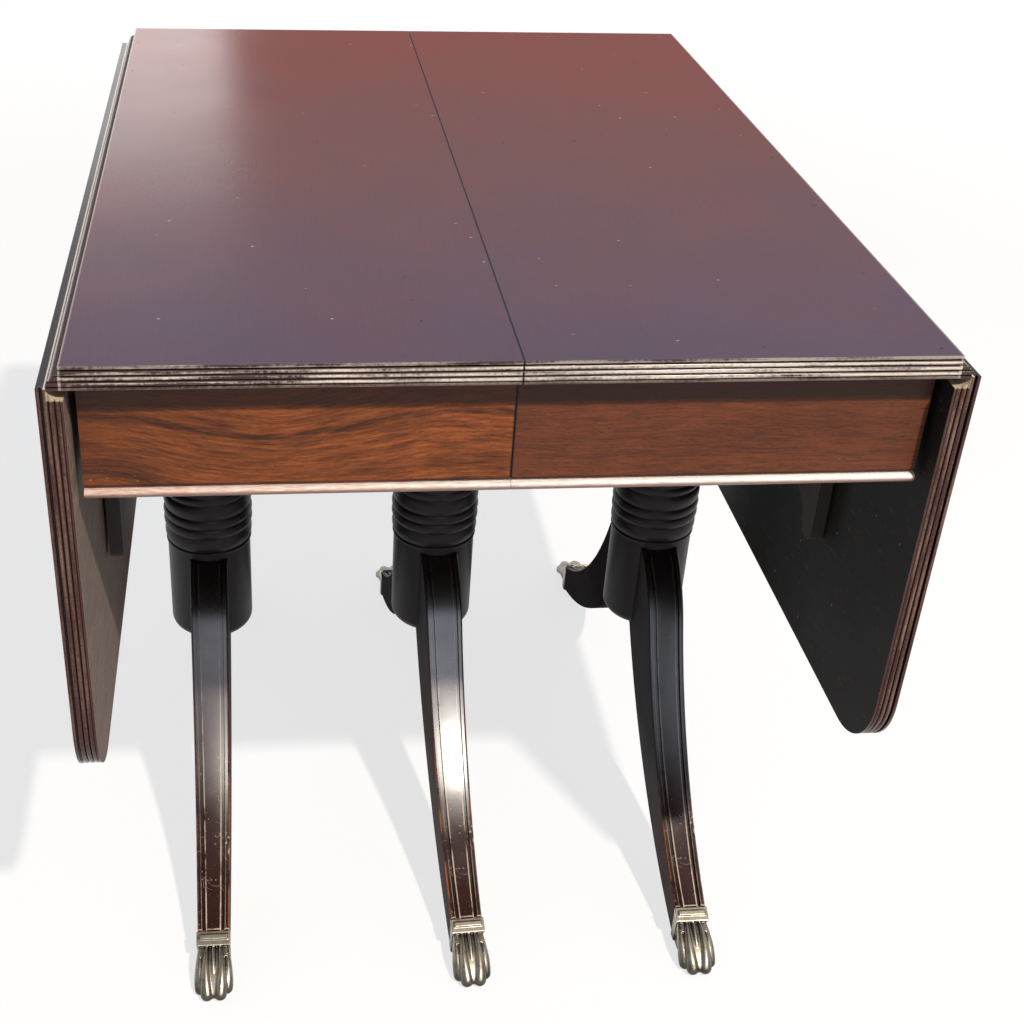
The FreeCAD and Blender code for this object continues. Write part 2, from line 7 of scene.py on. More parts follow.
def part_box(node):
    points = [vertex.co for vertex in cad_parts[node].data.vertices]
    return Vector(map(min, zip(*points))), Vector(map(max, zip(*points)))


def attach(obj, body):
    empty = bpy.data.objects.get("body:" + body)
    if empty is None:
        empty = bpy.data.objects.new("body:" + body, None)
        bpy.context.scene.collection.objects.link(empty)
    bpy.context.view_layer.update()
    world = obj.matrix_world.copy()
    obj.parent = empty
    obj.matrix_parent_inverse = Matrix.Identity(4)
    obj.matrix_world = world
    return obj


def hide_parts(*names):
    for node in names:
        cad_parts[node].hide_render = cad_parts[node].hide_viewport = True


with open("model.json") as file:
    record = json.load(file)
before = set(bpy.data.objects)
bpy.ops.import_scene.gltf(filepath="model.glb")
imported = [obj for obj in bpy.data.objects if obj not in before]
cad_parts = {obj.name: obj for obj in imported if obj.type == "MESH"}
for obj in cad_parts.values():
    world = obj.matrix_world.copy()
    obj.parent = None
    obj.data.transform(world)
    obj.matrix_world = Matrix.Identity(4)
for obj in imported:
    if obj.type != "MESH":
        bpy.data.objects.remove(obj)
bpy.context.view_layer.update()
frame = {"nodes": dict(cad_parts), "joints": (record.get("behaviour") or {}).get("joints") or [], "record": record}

nodes = frame["nodes"]
mm = 0.001
topLow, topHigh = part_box("right_top")
leafLow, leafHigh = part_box("right_leaf")
pinX = [joint["pos_m"][0] for joint in frame["joints"] if joint["name"] == "right_leaf_hinge"][0]
halfDepth = topHigh.y
topHeight = topHigh.z
underside = topLow.z
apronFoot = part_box("left_apron_front")[0].z
beadMiddle = sum(corner.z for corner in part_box("left_bead_front")) / 2
sides = ("left", "centre", "right")
columnX = {side: sum(corner.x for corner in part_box(side + "_column")) / 2 for side in sides}
pawMiddle = sum(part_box("centre_paw_front"), Vector()) / 2
centreTurn = math.atan2(pawMiddle.x - columnX["centre"], -pawMiddle.y)
pedestalTurn = {"left": 0.0, "centre": centreTurn, "right": 0.0}
print("frame loaded:", len(nodes), "nodes")


def linearFromHex(code):
    channels = [int(code[i:i + 2], 16) / 255 for i in (1, 3, 5)]
    return [c / 12.92 if c <= 0.04045 else ((c + 0.055) / 1.055) ** 2.4 for c in channels] + [1.0]


# adds a node with its settings and links: From and To take both ends of a range, text is a hex colour
def addNode(tree, kind, inputs=None, **options):
    node = tree.nodes.new("ShaderNode" + kind)
    for name, value in options.items():
        setattr(node, name, value)
    values = dict(inputs or {})
    for ends in ("From", "To"):
        if ends in values:
            values[ends + " Min"], values[ends + " Max"] = values.pop(ends)
    for name, value in values.items():
        if isinstance(value, bpy.types.Node):
            tree.links.new(value.outputs[0], node.inputs[name])
        elif isinstance(value, bpy.types.NodeSocket):
            tree.links.new(value, node.inputs[name])
        else:
            node.inputs[name].default_value = linearFromHex(value) if isinstance(value, str) else value
    return node


def newMaterial(name):
    material = bpy.data.materials.new(name)
    material.use_nodes = True
    tree = material.node_tree
    tree.nodes.clear()
    shader = addNode(tree, "BsdfPrincipled")
    addNode(tree, "OutputMaterial", {"Surface": shader})
    return material, tree, shader


# streaks along one axis: pitch is their spacing across the grain in mm, reach how much longer they are
def grainStreaks(tree, coords, axis, pitch, reach):
    scale = [1 / (pitch * mm)] * 3
    scale[axis] /= reach
    stretched = addNode(tree, "Mapping", {"Vector": coords, "Scale": scale})
    return addNode(tree, "TexNoise", {"Vector": stretched, "Scale": 1.0, "Detail": 5.0, "Roughness": 0.6})


# polished mahogany: dark red boards with fine pores under a satin film, and a painted sky reflection that turns
# them purple towards the front; pale where the mouldings are worn, with a painted highlight on their crests
mahogany = {
    "frontTone": "#4f344b", "midTone": "#6c332d", "backTone": "#882911", "grain": "#2e1417",
    "edge": "#402621", "leafEdge": "#4d2f2a", "quirk": "#0e0807", "worn": "#f2e4d6", "leafWorn": "#ba9a86",
    "rubbed": "#cbbba2", "fleck": "#d8c8b8", "end": "#2b2526", "bareWood": "#7d573c",
    "leftInner": "#b29c8e", "rightInner": "#110e0d",
    # how far the painted sky reflection moves the tone from purple at the front to red at the back, which is less
    # on a hanging leaf, and how far clouds push it
    "topSpread": 0.5, "leafSpread": 0.15, "drift": 0.4,
    # spacing of each pattern in mm, and how much longer than wide its streaks are
    "grainPitch": 1.3, "grainReach": 40.0, "porePitch": 0.45, "poreReach": 16.0, "fleckPitch": 2.4,
    "fleckReach": 9.0, "cloudPitch": 120.0, "chipPitch": 3.125, "peelPitch": 6.0, "peelHeight": 0.3,
    # dents: spacing in mm, how much they are drawn out, their size in a cell, and how many cells have one
    "dentPitch": 48.0, "dentSquash": 0.75, "dentSize": (0.026, 0.01), "dentShare": (0.5, 1.0),
    # waves a metre along each axis in the strokes of wear, and in the unevenness of the film
    "topStrokes": (13.0, 13.0, 250.0), "leafStrokes": (250.0, 16.0, 16.0), "filmScale": 9.0,
    # moulding, measured in from the board's edge, and its first and last reed, measured through the board
    "corner": 65 * mm, "mould": (4.2 * mm, 3.9 * mm), "quirkDepth": (0.8 * mm, 2.0 * mm),
    "crest": (0.5 * mm, 0.1 * mm), "firstReed": (2.7 * mm, 2.3 * mm), "lastReed": (2.2 * mm, 1.8 * mm),
    "brink": (pinX - 1.6 * mm, pinX - 0.6 * mm), "seam": (1.2 * mm, 0.5 * mm),
    "offFace": (0.1 * mm, 0.4 * mm), "onFace": (0.4 * mm, 0.15 * mm),  # how near a flat side counts as on it
    "roughness": 0.2, "unevenness": 0.06, "dulledInside": 0.45, "dulledDent": 0.5,
    "specular": 0.42, "leafSpecular": 0.24,
}
# rule joint: where it starts, its curved face, the end it shows, and the pale line on its arris
topJoint = {
    "zone": (pinX + 0.3 * mm, pinX + 1.0 * mm),
    "face": (topHeight - 7.0 * mm, topHeight - 7.6 * mm),
    "end": (topHeight - 12.0 * mm, topHeight - 11.0 * mm),
    "lineAt": pinX + 7.6 * mm, "lineHalf": 1.3 * mm, "tone": mahogany["edge"],
}
leafJoint = {
    "zone": (leafHigh.z - 10.5 * mm, leafHigh.z - 9.5 * mm),
    "face": (leafHigh.x - 6.8 * mm, leafHigh.x - 7.4 * mm),
    "end": (leafHigh.z - 0.6 * mm, leafHigh.z - 0.2 * mm),
    "lineAt": leafHigh.x - 6.4 * mm, "lineHalf": 1.2 * mm, "tone": mahogany["rubbed"],
}


def polishedMahogany(name, isLeaf):
    material, tree, shader = newMaterial(name)
    coords = addNode(tree, "TexCoord").outputs["Object"]
    along, backward, height = addNode(tree, "SeparateXYZ", {0: coords}).outputs
    across = addNode(tree, "Math", {0: along}, operation="ABSOLUTE")
    deep = addNode(tree, "Math", {0: backward}, operation="ABSOLUTE")
    rightward = addNode(tree, "MapRange", {"Value": along, "From": (-pinX, pinX)})

    # board tone from purple at the front to red at the back, a painted sky reflection, with slow clouds, then
    # streaks and pores along the board
    cloud = addNode(tree, "TexNoise", {"Vector": coords, "Scale": 1 / (mahogany["cloudPitch"] * mm),
                                       "Detail": 2.0})
    streaks = grainStreaks(tree, coords, 1, mahogany["grainPitch"], mahogany["grainReach"])
    sheenSpread = mahogany["leafSpread" if isLeaf else "topSpread"]
    # the ramp from purple at the front to red at the back is a painted sky reflection
    skySheenStage = addNode(tree, "MapRange", {"Value": backward, "From": (-halfDepth, halfDepth),
                                       "To": (0.5 - sheenSpread, 0.5 + sheenSpread)})
    drift = addNode(tree, "Math", {0: cloud, 1: mahogany["drift"], 2: -mahogany["drift"] / 2},
                    operation="MULTIPLY_ADD")
    skySheenStage = addNode(tree, "Math", {0: skySheenStage, 1: drift}, operation="ADD")
    colour = addNode(tree, "ValToRGB", {0: skySheenStage})
    colour.color_ramp.elements[0].color = linearFromHex(mahogany["frontTone"])
    colour.color_ramp.elements[1].color = linearFromHex(mahogany["backTone"])
    colour.color_ramp.elements.new(0.5).color = linearFromHex(mahogany["midTone"])
    shade = addNode(tree, "MapRange", {"Value": streaks, "From": (0.7, 0.3), "To": (0.0, 0.16)})
    colour = addNode(tree, "MixRGB", {"Fac": shade, "Color1": colour, "Color2": mahogany["grain"]})
    pores = grainStreaks(tree, coords, 1, mahogany["porePitch"], mahogany["poreReach"])
    pores = addNode(tree, "MapRange", {"Value": pores, "From": (0.62, 0.7), "To": (0.0, 0.4)})
    colour = addNode(tree, "MixRGB", {"Fac": pores, "Color1": colour, "Color2": mahogany["grain"]})

    # depth in from the moulded edges, and which faces lie between the board's two flat sides
    if isLeaf:
        corner = mahogany["corner"]
        sideways = addNode(tree, "Math", {0: deep, 1: halfDepth - corner}, operation="SUBTRACT")
        downward = addNode(tree, "Math", {0: leafLow.z + corner, 1: height}, operation="SUBTRACT")
        outY = addNode(tree, "Math", {0: sideways, 1: 0.0}, operation="MAXIMUM")
        outZ = addNode(tree, "Math", {0: downward, 1: 0.0}, operation="MAXIMUM")
        outward = addNode(tree, "CombineXYZ", {0: outY, 1: outZ})
        outside = addNode(tree, "VectorMath", {0: outward}, operation="LENGTH").outputs["Value"]
        nearest = addNode(tree, "Math", {0: sideways, 1: downward}, operation="MAXIMUM")
        inside = addNode(tree, "Math", {0: nearest, 1: 0.0}, operation="MINIMUM")
        reach = addNode(tree, "Math", {0: outside, 1: inside}, operation="ADD")
        depth = addNode(tree, "Math", {0: corner, 1: reach}, operation="SUBTRACT")
        through, low, high = across, leafLow.x, leafHigh.x
    else:
        depth = addNode(tree, "Math", {0: halfDepth, 1: deep}, operation="SUBTRACT")
        through, low, high = height, underside, topHeight
    lowSkin = [low + gap for gap in mahogany["offFace"]]
    highSkin = [high - gap for gap in mahogany["offFace"]]
    offLow = addNode(tree, "MapRange", {"Value": through, "From": lowSkin})
    offHigh = addNode(tree, "MapRange", {"Value": through, "From": highSkin})
    between = addNode(tree, "Math", {0: offLow, 1: offHigh}, operation="MULTIPLY")
    mould = addNode(tree, "MapRange", {"Value": depth, "From": mahogany["mould"]})
    mould = addNode(tree, "Math", {0: mould, 1: between}, operation="MULTIPLY")
    edgeTone = mahogany["leafEdge" if isLeaf else "edge"]
    colour = addNode(tree, "MixRGB", {"Fac": mould, "Color1": colour, "Color2": edgeTone})
    # faces deep in the moulding's grooves are painted near black as shade
    quirkShade = addNode(tree, "MapRange", {"Value": depth, "From": mahogany["quirkDepth"]})
    quirkShade = addNode(tree, "Math", {0: quirkShade, 1: mould}, operation="MULTIPLY")
    colour = addNode(tree, "MixRGB", {"Fac": quirkShade, "Color1": colour, "Color2": mahogany["quirk"]})

    # wear and a painted highlight on the crests come and go along the moulding, in long strokes broken by chips
    strokeScale = mahogany["leafStrokes" if isLeaf else "topStrokes"]
    strokes = addNode(tree, "Mapping", {"Vector": coords, "Scale": strokeScale})
    strokes = addNode(tree, "TexNoise", {"Vector": strokes, "Scale": 1.0, "Detail": 3.0, "Roughness": 0.5})
    chips = addNode(tree, "TexNoise", {"Vector": coords, "Scale": 1 / (mahogany["chipPitch"] * mm),
                                       "Detail": 3.0, "Roughness": 0.6})
    patchy = addNode(tree, "Math", {0: chips, 1: 0.4, 2: strokes}, operation="MULTIPLY_ADD")
    if isLeaf:
        most = addNode(tree, "MapRange", {"Value": rightward, "To": (0.5, 0.6)})
        patchy = addNode(tree, "MapRange", {"Value": patchy, "From": (0.62, 0.95), "To": (0.0, most)})
    else:
        lean = addNode(tree, "MapRange", {"Value": rightward, "To": (-0.1, 0.06)})
        patchy = addNode(tree, "Math", {0: patchy, 1: lean}, operation="ADD")
        patchy = addNode(tree, "MapRange", {"Value": patchy, "From": (0.53, 0.76)})
    # the crests carry wear and a painted highlight
    crest = addNode(tree, "MapRange", {"Value": depth, "From": mahogany["crest"]})
    firstReed = [high - inset for inset in mahogany["firstReed"]]
    lastReed = [low + inset for inset in mahogany["lastReed"]]
    upper = addNode(tree, "MapRange", {"Value": through, "From": firstReed, "To": (1.0, 0.5)})
    lower = addNode(tree, "MapRange", {"Value": through, "From": lastReed, "To": (1.0, 0.2)})
    outerReeds = addNode(tree, "Math", {0: upper, 1: lower}, operation="MULTIPLY")
    crest = addNode(tree, "Math", {0: crest, 1: outerReeds}, operation="MULTIPLY")
    worn = addNode(tree, "Math", {0: crest, 1: patchy}, operation="MULTIPLY")
    crestWearAndGlintTone = mahogany["leafWorn" if isLeaf else "worn"]
    colour = addNode(tree, "MixRGB", {"Fac": worn, "Color1": colour, "Color2": crestWearAndGlintTone})

    # rule joint: bare wood in the leaf's cove, dark wax on the ovolo, and pale lines along the arrises
    joint = leafJoint if isLeaf else topJoint
    inJoint = addNode(tree, "MapRange", {"Value": height if isLeaf else across, "From": joint["zone"]})
    inward = addNode(tree, "MapRange", {"Value": across if isLeaf else height, "From": joint["face"]})
    onEnd = addNode(tree, "MapRange", {"Value": height, "From": joint["end"]})
    if isLeaf:
        colour = addNode(tree, "MixRGB", {"Fac": onEnd, "Color1": colour, "Color2": mahogany["end"]})
    else:
        brink = addNode(tree, "MapRange", {"Value": across, "From": mahogany["brink"], "To": (0.0, 0.35)})
        colour = addNode(tree, "MixRGB", {"Fac": brink, "Color1": colour, "Color2": mahogany["worn"]})
    rubbed = addNode(tree, "Math", {0: inJoint, 1: inward}, operation="MULTIPLY")
    colour = addNode(tree, "MixRGB", {"Fac": rubbed, "Color1": colour, "Color2": joint["tone"]})
    offLine = addNode(tree, "Math", {0: across, 1: joint["lineAt"]}, operation="SUBTRACT")
    offLine = addNode(tree, "Math", {0: offLine}, operation="ABSOLUTE")
    arris = addNode(tree, "MapRange", {"Value": offLine, "From": (joint["lineHalf"], joint["lineHalf"] / 2),
                                       "To": (0.0, 0.85)})
    arris = addNode(tree, "Math", {0: arris, 1: onEnd}, operation="MULTIPLY")
    colour = addNode(tree, "MixRGB", {"Fac": arris, "Color1": colour, "Color2": mahogany["worn"]})

    innerSkin = [low + gap for gap in mahogany["onFace"]]
    innerFace = addNode(tree, "MapRange", {"Value": through, "From": innerSkin})
    if isLeaf:  # inner face: dressed wood under a thin stain with bare flecks; the left leaf's is painted pale and fleckier as if lit, the right leaf's painted near black as shade
        # the left inner face is painted as lit, the right one as shaded
        tone = addNode(tree, "MixRGB", {"Fac": rightward, "Color1": mahogany["leftInner"],
                                        "Color2": mahogany["rightInner"]})
        tone = addNode(tree, "MixRGB", {"Fac": streaks, "Color1": tone, "Color2": mahogany["quirk"]})
        flecks = grainStreaks(tree, coords, 1, mahogany["fleckPitch"], mahogany["fleckReach"])
        most = addNode(tree, "MapRange", {"Value": rightward, "To": (0.7, 0.12)})
        flecks = addNode(tree, "MapRange", {"Value": flecks, "From": (0.62, 0.7), "To": (0.0, most)})
        tone = addNode(tree, "MixRGB", {"Fac": flecks, "Color1": tone, "Color2": mahogany["rubbed"]})
        colour = addNode(tree, "MixRGB", {"Fac": innerFace, "Color1": colour, "Color2": tone})
    else:  # bare wood underneath, dirt in the seam
        tone = addNode(tree, "MixRGB", {"Fac": streaks, "Color1": mahogany["bareWood"],
                                        "Color2": mahogany["grain"]})
        colour = addNode(tree, "MixRGB", {"Fac": innerFace, "Color1": colour, "Color2": tone})
        seam = addNode(tree, "MapRange", {"Value": across, "From": mahogany["seam"]})
        colour = addNode(tree, "MixRGB", {"Fac": seam, "Color1": colour, "Color2": mahogany["quirk"]})

    # small dents on the flat of the board, some bare and pale, some filled with dirt
    length = height if isLeaf else along
    length = addNode(tree, "Math", {0: length, 1: mahogany["dentSquash"]}, operation="MULTIPLY")
    flat = addNode(tree, "CombineXYZ", {0: length, 1: backward})
    cells = addNode(tree, "TexVoronoi", {"Vector": flat, "Scale": 1 / (mahogany["dentPitch"] * mm)},
                    voronoi_dimensions="2D")
    lots = addNode(tree, "SeparateXYZ", {0: cells.outputs["Color"]})
    chosen = addNode(tree, "MapRange", {"Value": lots, "From": mahogany["dentShare"], "To": (0.0, 0.8)})
    dent = addNode(tree, "MapRange", {"Value": cells.outputs["Distance"], "From": mahogany["dentSize"]})
    dent = addNode(tree, "Math", {0: dent, 1: chosen}, operation="MULTIPLY")
    offMould = addNode(tree, "MapRange", {"Value": mould, "To": (1.0, 0.0)})
    dent = addNode(tree, "Math", {0: dent, 1: offMould}, operation="MULTIPLY")
    dirty = addNode(tree, "MapRange", {"Value": lots.outputs[1], "From": (0.55, 0.6)})
    dentTone = addNode(tree, "MixRGB", {"Fac": dirty, "Color1": mahogany["fleck"],
                                        "Color2": mahogany["quirk"]})
    colour = addNode(tree, "MixRGB", {"Fac": dent, "Color1": colour, "Color2": dentTone})
    tree.links.new(colour.outputs[0], shader.inputs["Base Color"])

    # satin film, uneven like orange peel, worn dull inside and in the dents
    film = addNode(tree, "TexNoise", {"Vector": coords, "Scale": mahogany["filmScale"], "Detail": 4.0})
    rough = addNode(tree, "MapRange", {"Value": film, "To": (mahogany["roughness"] - mahogany["unevenness"],
                                                             mahogany["roughness"] + mahogany["unevenness"])})
    rough = addNode(tree, "Math", {0: innerFace, 1: mahogany["dulledInside"], 2: rough},
                    operation="MULTIPLY_ADD")
    rough = addNode(tree, "Math", {0: dent, 1: mahogany["dulledDent"], 2: rough}, operation="MULTIPLY_ADD")
    tree.links.new(rough.outputs[0], shader.inputs["Roughness"])
    shader.inputs["Specular IOR Level"].default_value = mahogany["leafSpecular" if isLeaf else "specular"]
    relief = addNode(tree, "Math", {0: chips, 1: mould}, operation="MULTIPLY")
    relief = addNode(tree, "Math", {0: relief, 1: dent}, operation="SUBTRACT")
    peel = addNode(tree, "TexNoise", {"Vector": coords, "Scale": 1 / (mahogany["peelPitch"] * mm),
                                      "Detail": 3.0})
    relief = addNode(tree, "Math", {0: peel, 1: mahogany["peelHeight"], 2: relief}, operation="MULTIPLY_ADD")
    bump = addNode(tree, "Bump", {"Height": relief, "Strength": 0.2, "Distance": 0.5 * mm})
    tree.links.new(bump.outputs[0], shader.inputs["Normal"])
    return material


# figured mahogany veneer, french polished: bright flecks between dark pores, crossed by a dark cathedral line
veneers = {
    "flameVeneer": {"light": "#b96937", "mid": "#6b361e", "flame": 0.75, "cloudy": 0.66, "bend": 0.085},
    "plainVeneer": {"light": "#85492d", "mid": "#5c3320", "flame": 0.2, "cloudy": 0.34, "bend": 0.03},
}
veneer = {
    "dark": "#2b130c", "seam": "#140a08", "fleck": "#cf9a70",
    # waves a metre in the bends of the grain, and where they start
    "bendScale": (5.0, 5.0, 6.0), "bendShift": (0.6, 0.0, 0.35),
    # spacing of each pattern in mm, and how much longer than wide its streaks are
    "mottlePitch": 1.5, "mottleReach": 15.0, "broadPitch": 14.0, "broadReach": 7.0, "porePitch": 0.7,
    "poreReach": 7.0, "chipPitch": 1.6, "chipReach": 3.5, "bandPitch": 46.0,
    # the left end is darker and more chipped, the lower edge is chipped, dirt and painted shade lie along the
    # bead, dirt in the seam
    "darkEnd": (-pinX * 0.45, -pinX), "chippedEnd": (-pinX * 0.6, -pinX),
    "chippedEdge": (underside - 60 * mm, underside - 90 * mm),
    "dirt": (apronFoot + 2.5 * mm, apronFoot + 0.5 * mm), "seamHalf": (1.5 * mm, 0.6 * mm),
    "sheltered": (underside - 26.5 * mm, underside - 23.5 * mm),  # painted shadow of the top's overhang on the upper strip
    "roughness": 0.38, "specular": 0.25,
}


def figuredVeneer(name):
    sheet = veneers[name]
    material, tree, shader = newMaterial(name)
    coords = addNode(tree, "TexCoord").outputs["Object"]
    along, backward, height = addNode(tree, "SeparateXYZ", {0: coords}).outputs

    # the grain bends in slow waves, so every layer follows the same bent height
    sweep = addNode(tree, "Mapping", {"Vector": coords, "Scale": veneer["bendScale"],
                                      "Location": veneer["bendShift"]})
    bends = addNode(tree, "TexNoise", {"Vector": sweep, "Scale": 1.0, "Detail": 1.0, "Roughness": 0.4})
    lifted = addNode(tree, "Math", {0: bends, 1: sheet["bend"], 2: height}, operation="MULTIPLY_ADD")
    bent = addNode(tree, "CombineXYZ", {0: along, 1: backward, 2: lifted})
    mottle = grainStreaks(tree, bent, 0, veneer["mottlePitch"], veneer["mottleReach"])
    broad = grainStreaks(tree, bent, 0, veneer["broadPitch"], veneer["broadReach"])
    mixed = addNode(tree, "MapRange", {"Value": mottle, "From": (0.3, 0.7)})
    colour = addNode(tree, "MixRGB", {"Fac": mixed, "Color1": sheet["mid"], "Color2": sheet["light"]})
    shade = addNode(tree, "MapRange", {"Value": broad, "From": (0.56, 0.3), "To": (0.0, sheet["cloudy"])})
    colour = addNode(tree, "MixRGB", {"Fac": shade, "Color1": colour, "Color2": veneer["dark"]})
    upright = addNode(tree, "CombineXYZ", {2: lifted})
    bandScale = math.pi / 10 / (veneer["bandPitch"] * mm)  # at a scale of 1 the waves are pi / 10 apart
    bands = addNode(tree, "TexWave", {"Vector": upright, "Distortion": 0.0, "Scale": bandScale},
                    bands_direction="Z")
    flame = addNode(tree, "MapRange", {"Value": bands.outputs["Fac"], "From": (0.045, 0.0),
                                       "To": (0.0, sheet["flame"])})
    broken = addNode(tree, "MapRange", {"Value": mottle, "From": (0.8, 0.4)})
    flame = addNode(tree, "Math", {0: flame, 1: broken}, operation="MULTIPLY")
    colour = addNode(tree, "MixRGB", {"Fac": flame, "Color1": colour, "Color2": veneer["dark"]})
    endShade = addNode(tree, "MapRange", {"Value": along, "From": veneer["darkEnd"], "To": (0.0, 0.45)})
    colour = addNode(tree, "MixRGB", {"Fac": endShade, "Color1": colour, "Color2": veneer["dark"]})
    pores = grainStreaks(tree, bent, 0, veneer["porePitch"], veneer["poreReach"])
    pores = addNode(tree, "MapRange", {"Value": pores, "From": (0.54, 0.66), "To": (0.0, 0.55)})
    colour = addNode(tree, "MixRGB", {"Fac": pores, "Color1": colour, "Color2": veneer["dark"]})

    # pale chips, then dirt and painted shade along the bead, and the painted shadow of the top's overhang
    lowEdge = addNode(tree, "MapRange", {"Value": height, "From": veneer["chippedEdge"], "To": (0.0, 0.07)})
    leftEnd = addNode(tree, "MapRange", {"Value": along, "From": veneer["chippedEnd"], "To": (0.0, 0.05)})
    battered = addNode(tree, "Math", {0: lowEdge, 1: leftEnd}, operation="ADD")
    chips = grainStreaks(tree, coords, 0, veneer["chipPitch"], veneer["chipReach"])
    chips = addNode(tree, "Math", {0: chips, 1: battered}, operation="ADD")
    chips = addNode(tree, "MapRange", {"Value": chips, "From": (0.73, 0.78), "To": (0.0, 0.8)})
    colour = addNode(tree, "MixRGB", {"Fac": chips, "Color1": colour, "Color2": veneer["fleck"]})
    # a dark line along the bead: dirt and painted shade in the crease
    dirt = addNode(tree, "MapRange", {"Value": height, "From": veneer["dirt"], "To": (0.0, 0.8)})
    colour = addNode(tree, "MixRGB", {"Fac": dirt, "Color1": colour, "Color2": veneer["seam"]})
    # painted shadow of the top's overhang across the upper strip
    overhangShadow = addNode(tree, "MapRange", {"Value": height, "From": veneer["sheltered"], "To": (0.0, 0.72)})
    colour = addNode(tree, "MixRGB", {"Fac": overhangShadow, "Color1": colour, "Color2": veneer["dark"]})
    seam = addNode(tree, "Math", {0: along}, operation="ABSOLUTE")
    seam = addNode(tree, "MapRange", {"Value": seam, "From": veneer["seamHalf"]})
    colour = addNode(tree, "MixRGB", {"Fac": seam, "Color1": colour, "Color2": veneer["seam"]})
    tree.links.new(colour.outputs[0], shader.inputs["Base Color"])
    shader.inputs["Roughness"].default_value = veneer["roughness"]
    shader.inputs["Specular IOR Level"].default_value = veneer["specular"]
    bump = addNode(tree, "Bump", {"Height": mottle, "Strength": 0.12, "Distance": 0.2 * mm})
    tree.links.new(bump.outputs[0], shader.inputs["Normal"])
    return material


# bead: pale where worn along it, the upper half of its nose painted white as a highlight, the lower half painted a
# darker pinkish brown as shade
beadFinish = {
    "bare": "#fff6ef", "brown": "#c08868", "lower": "#8f5f50", "dark": "#3a1c14", "roughness": 0.36,
    "streakPitch": 1.6, "streakReach": 7.0, "dirtPitch": 0.8, "dirtReach": 9.0,
    "lowerHalf": (beadMiddle + 0.5 * mm, beadMiddle - 1.0 * mm),
}


def wornBead(name):
    material, tree, shader = newMaterial(name)
    coords = addNode(tree, "TexCoord").outputs["Object"]
    along, _, height = addNode(tree, "SeparateXYZ", {0: coords}).outputs
    streaks = grainStreaks(tree, coords, 0, beadFinish["streakPitch"], beadFinish["streakReach"])
    fine = grainStreaks(tree, coords, 0, beadFinish["dirtPitch"], beadFinish["dirtReach"])
    lean = addNode(tree, "MapRange", {"Value": along, "From": (-pinX, pinX), "To": (-0.1, 0.35)})
    bare = addNode(tree, "Math", {0: streaks, 1: lean}, operation="ADD")
    bare = addNode(tree, "MapRange", {"Value": bare, "From": (0.22, 0.78)})
    colour = addNode(tree, "MixRGB", {"Fac": bare, "Color1": beadFinish["brown"],
                                      "Color2": beadFinish["bare"]})
    # the bead's lower half is painted darker as shade
    shadedBelow = addNode(tree, "MapRange", {"Value": height, "From": beadFinish["lowerHalf"], "To": (0.0, 0.8)})
    colour = addNode(tree, "MixRGB", {"Fac": shadedBelow, "Color1": colour, "Color2": beadFinish["lower"]})
    dirt = addNode(tree, "MapRange", {"Value": fine, "From": (0.64, 0.74), "To": (0.0, 0.6)})
    colour = addNode(tree, "MixRGB", {"Fac": dirt, "Color1": colour, "Color2": beadFinish["dark"]})
    tree.links.new(colour.outputs[0], shader.inputs["Base Color"])
    shader.inputs["Roughness"].default_value = beadFinish["roughness"]
    bump = addNode(tree, "Bump", {"Height": streaks, "Strength": 0.2, "Distance": 0.3 * mm})
    tree.links.new(bump.outputs[0], shader.inputs["Normal"])
    return material


# ebonised pedestal wood, waxed: near black under the table, brown and rubbed towards the feet
pedestal = {
    "dark": "#121011", "stain": "#211819", "brown": "#3d1f17", "groove": "#080605", "worn": "#d8c2ae",
    "rim": "#b36a3c", "fleck": "#b98d7c", "scratch": "#c9b8ac", "unwaxed": "#3c3c3c",
    "roughness": {"Leg": 0.27, "Column": 0.4, "BackLeg": 0.4}, "patchiness": (-0.06, 0.1),
    "specular": {"Leg": 0.7, "Column": 0.22, "BackLeg": 0.05},
    "gloss": {"left": 0.82, "centre": 1.15, "right": 1.05},  # how much of the wax is left on each front leg
    "handledGloss": -0.09, "unwaxedRough": 0.45,
    # where the stain gives way to brown: out from the column in mm, over how much more, and at what height; the
    # right leg's brown starts further out, which paints the right leaf's shadow on it
    "brownFrom": {"left": 90.0, "centre": 90.0, "right": 195.0}, "brownOver": 30.0,
    "brownHeight": (200 * mm, 100 * mm),
    # where shoes rub the wax, where a leg leaves its column, and where its rubbed lines come in, from faint
    # painted highlights up the leg to full wear low down
    "handledHeight": (145 * mm, 105 * mm), "legFace": (47 * mm, 49 * mm), "fade": (100 * mm, 280 * mm),
    # half widths of the leg at its root and end, and where its bead ends and its panel starts, in mm
    "legRoot": 45.0, "legEnd": 322.0, "rootWidth": 20.5, "endWidth": 16.25,
    "bead": 5.0, "panel": 8.6, "blend": 0.6, "rimWidth": (1.8 * mm, 0.6 * mm),
    # rubbed lines, worn and partly a painted highlight: from which edge, how far in, half width, strength
    "lines": (("side", 4.4, 0.5, 0.45), ("side", 9.2, 0.9, 1.0), ("end", 1.2, 0.8, 0.9)),
    # spacing of the patterns in mm, and waves a metre in the wear, the scratches and their patches
    "grainPitch": 1.4, "grainReach": 18.0, "chipPitch": 2.6, "chipReach": 2.5,
    "wearScale": 34.0, "tangleScale": 55.0, "patchScale": 48.0,
    # the faces are crowned across and lean a little from the sweep
    "crown": 1.7, "fall": 0.107, "lean": 0.045,
}


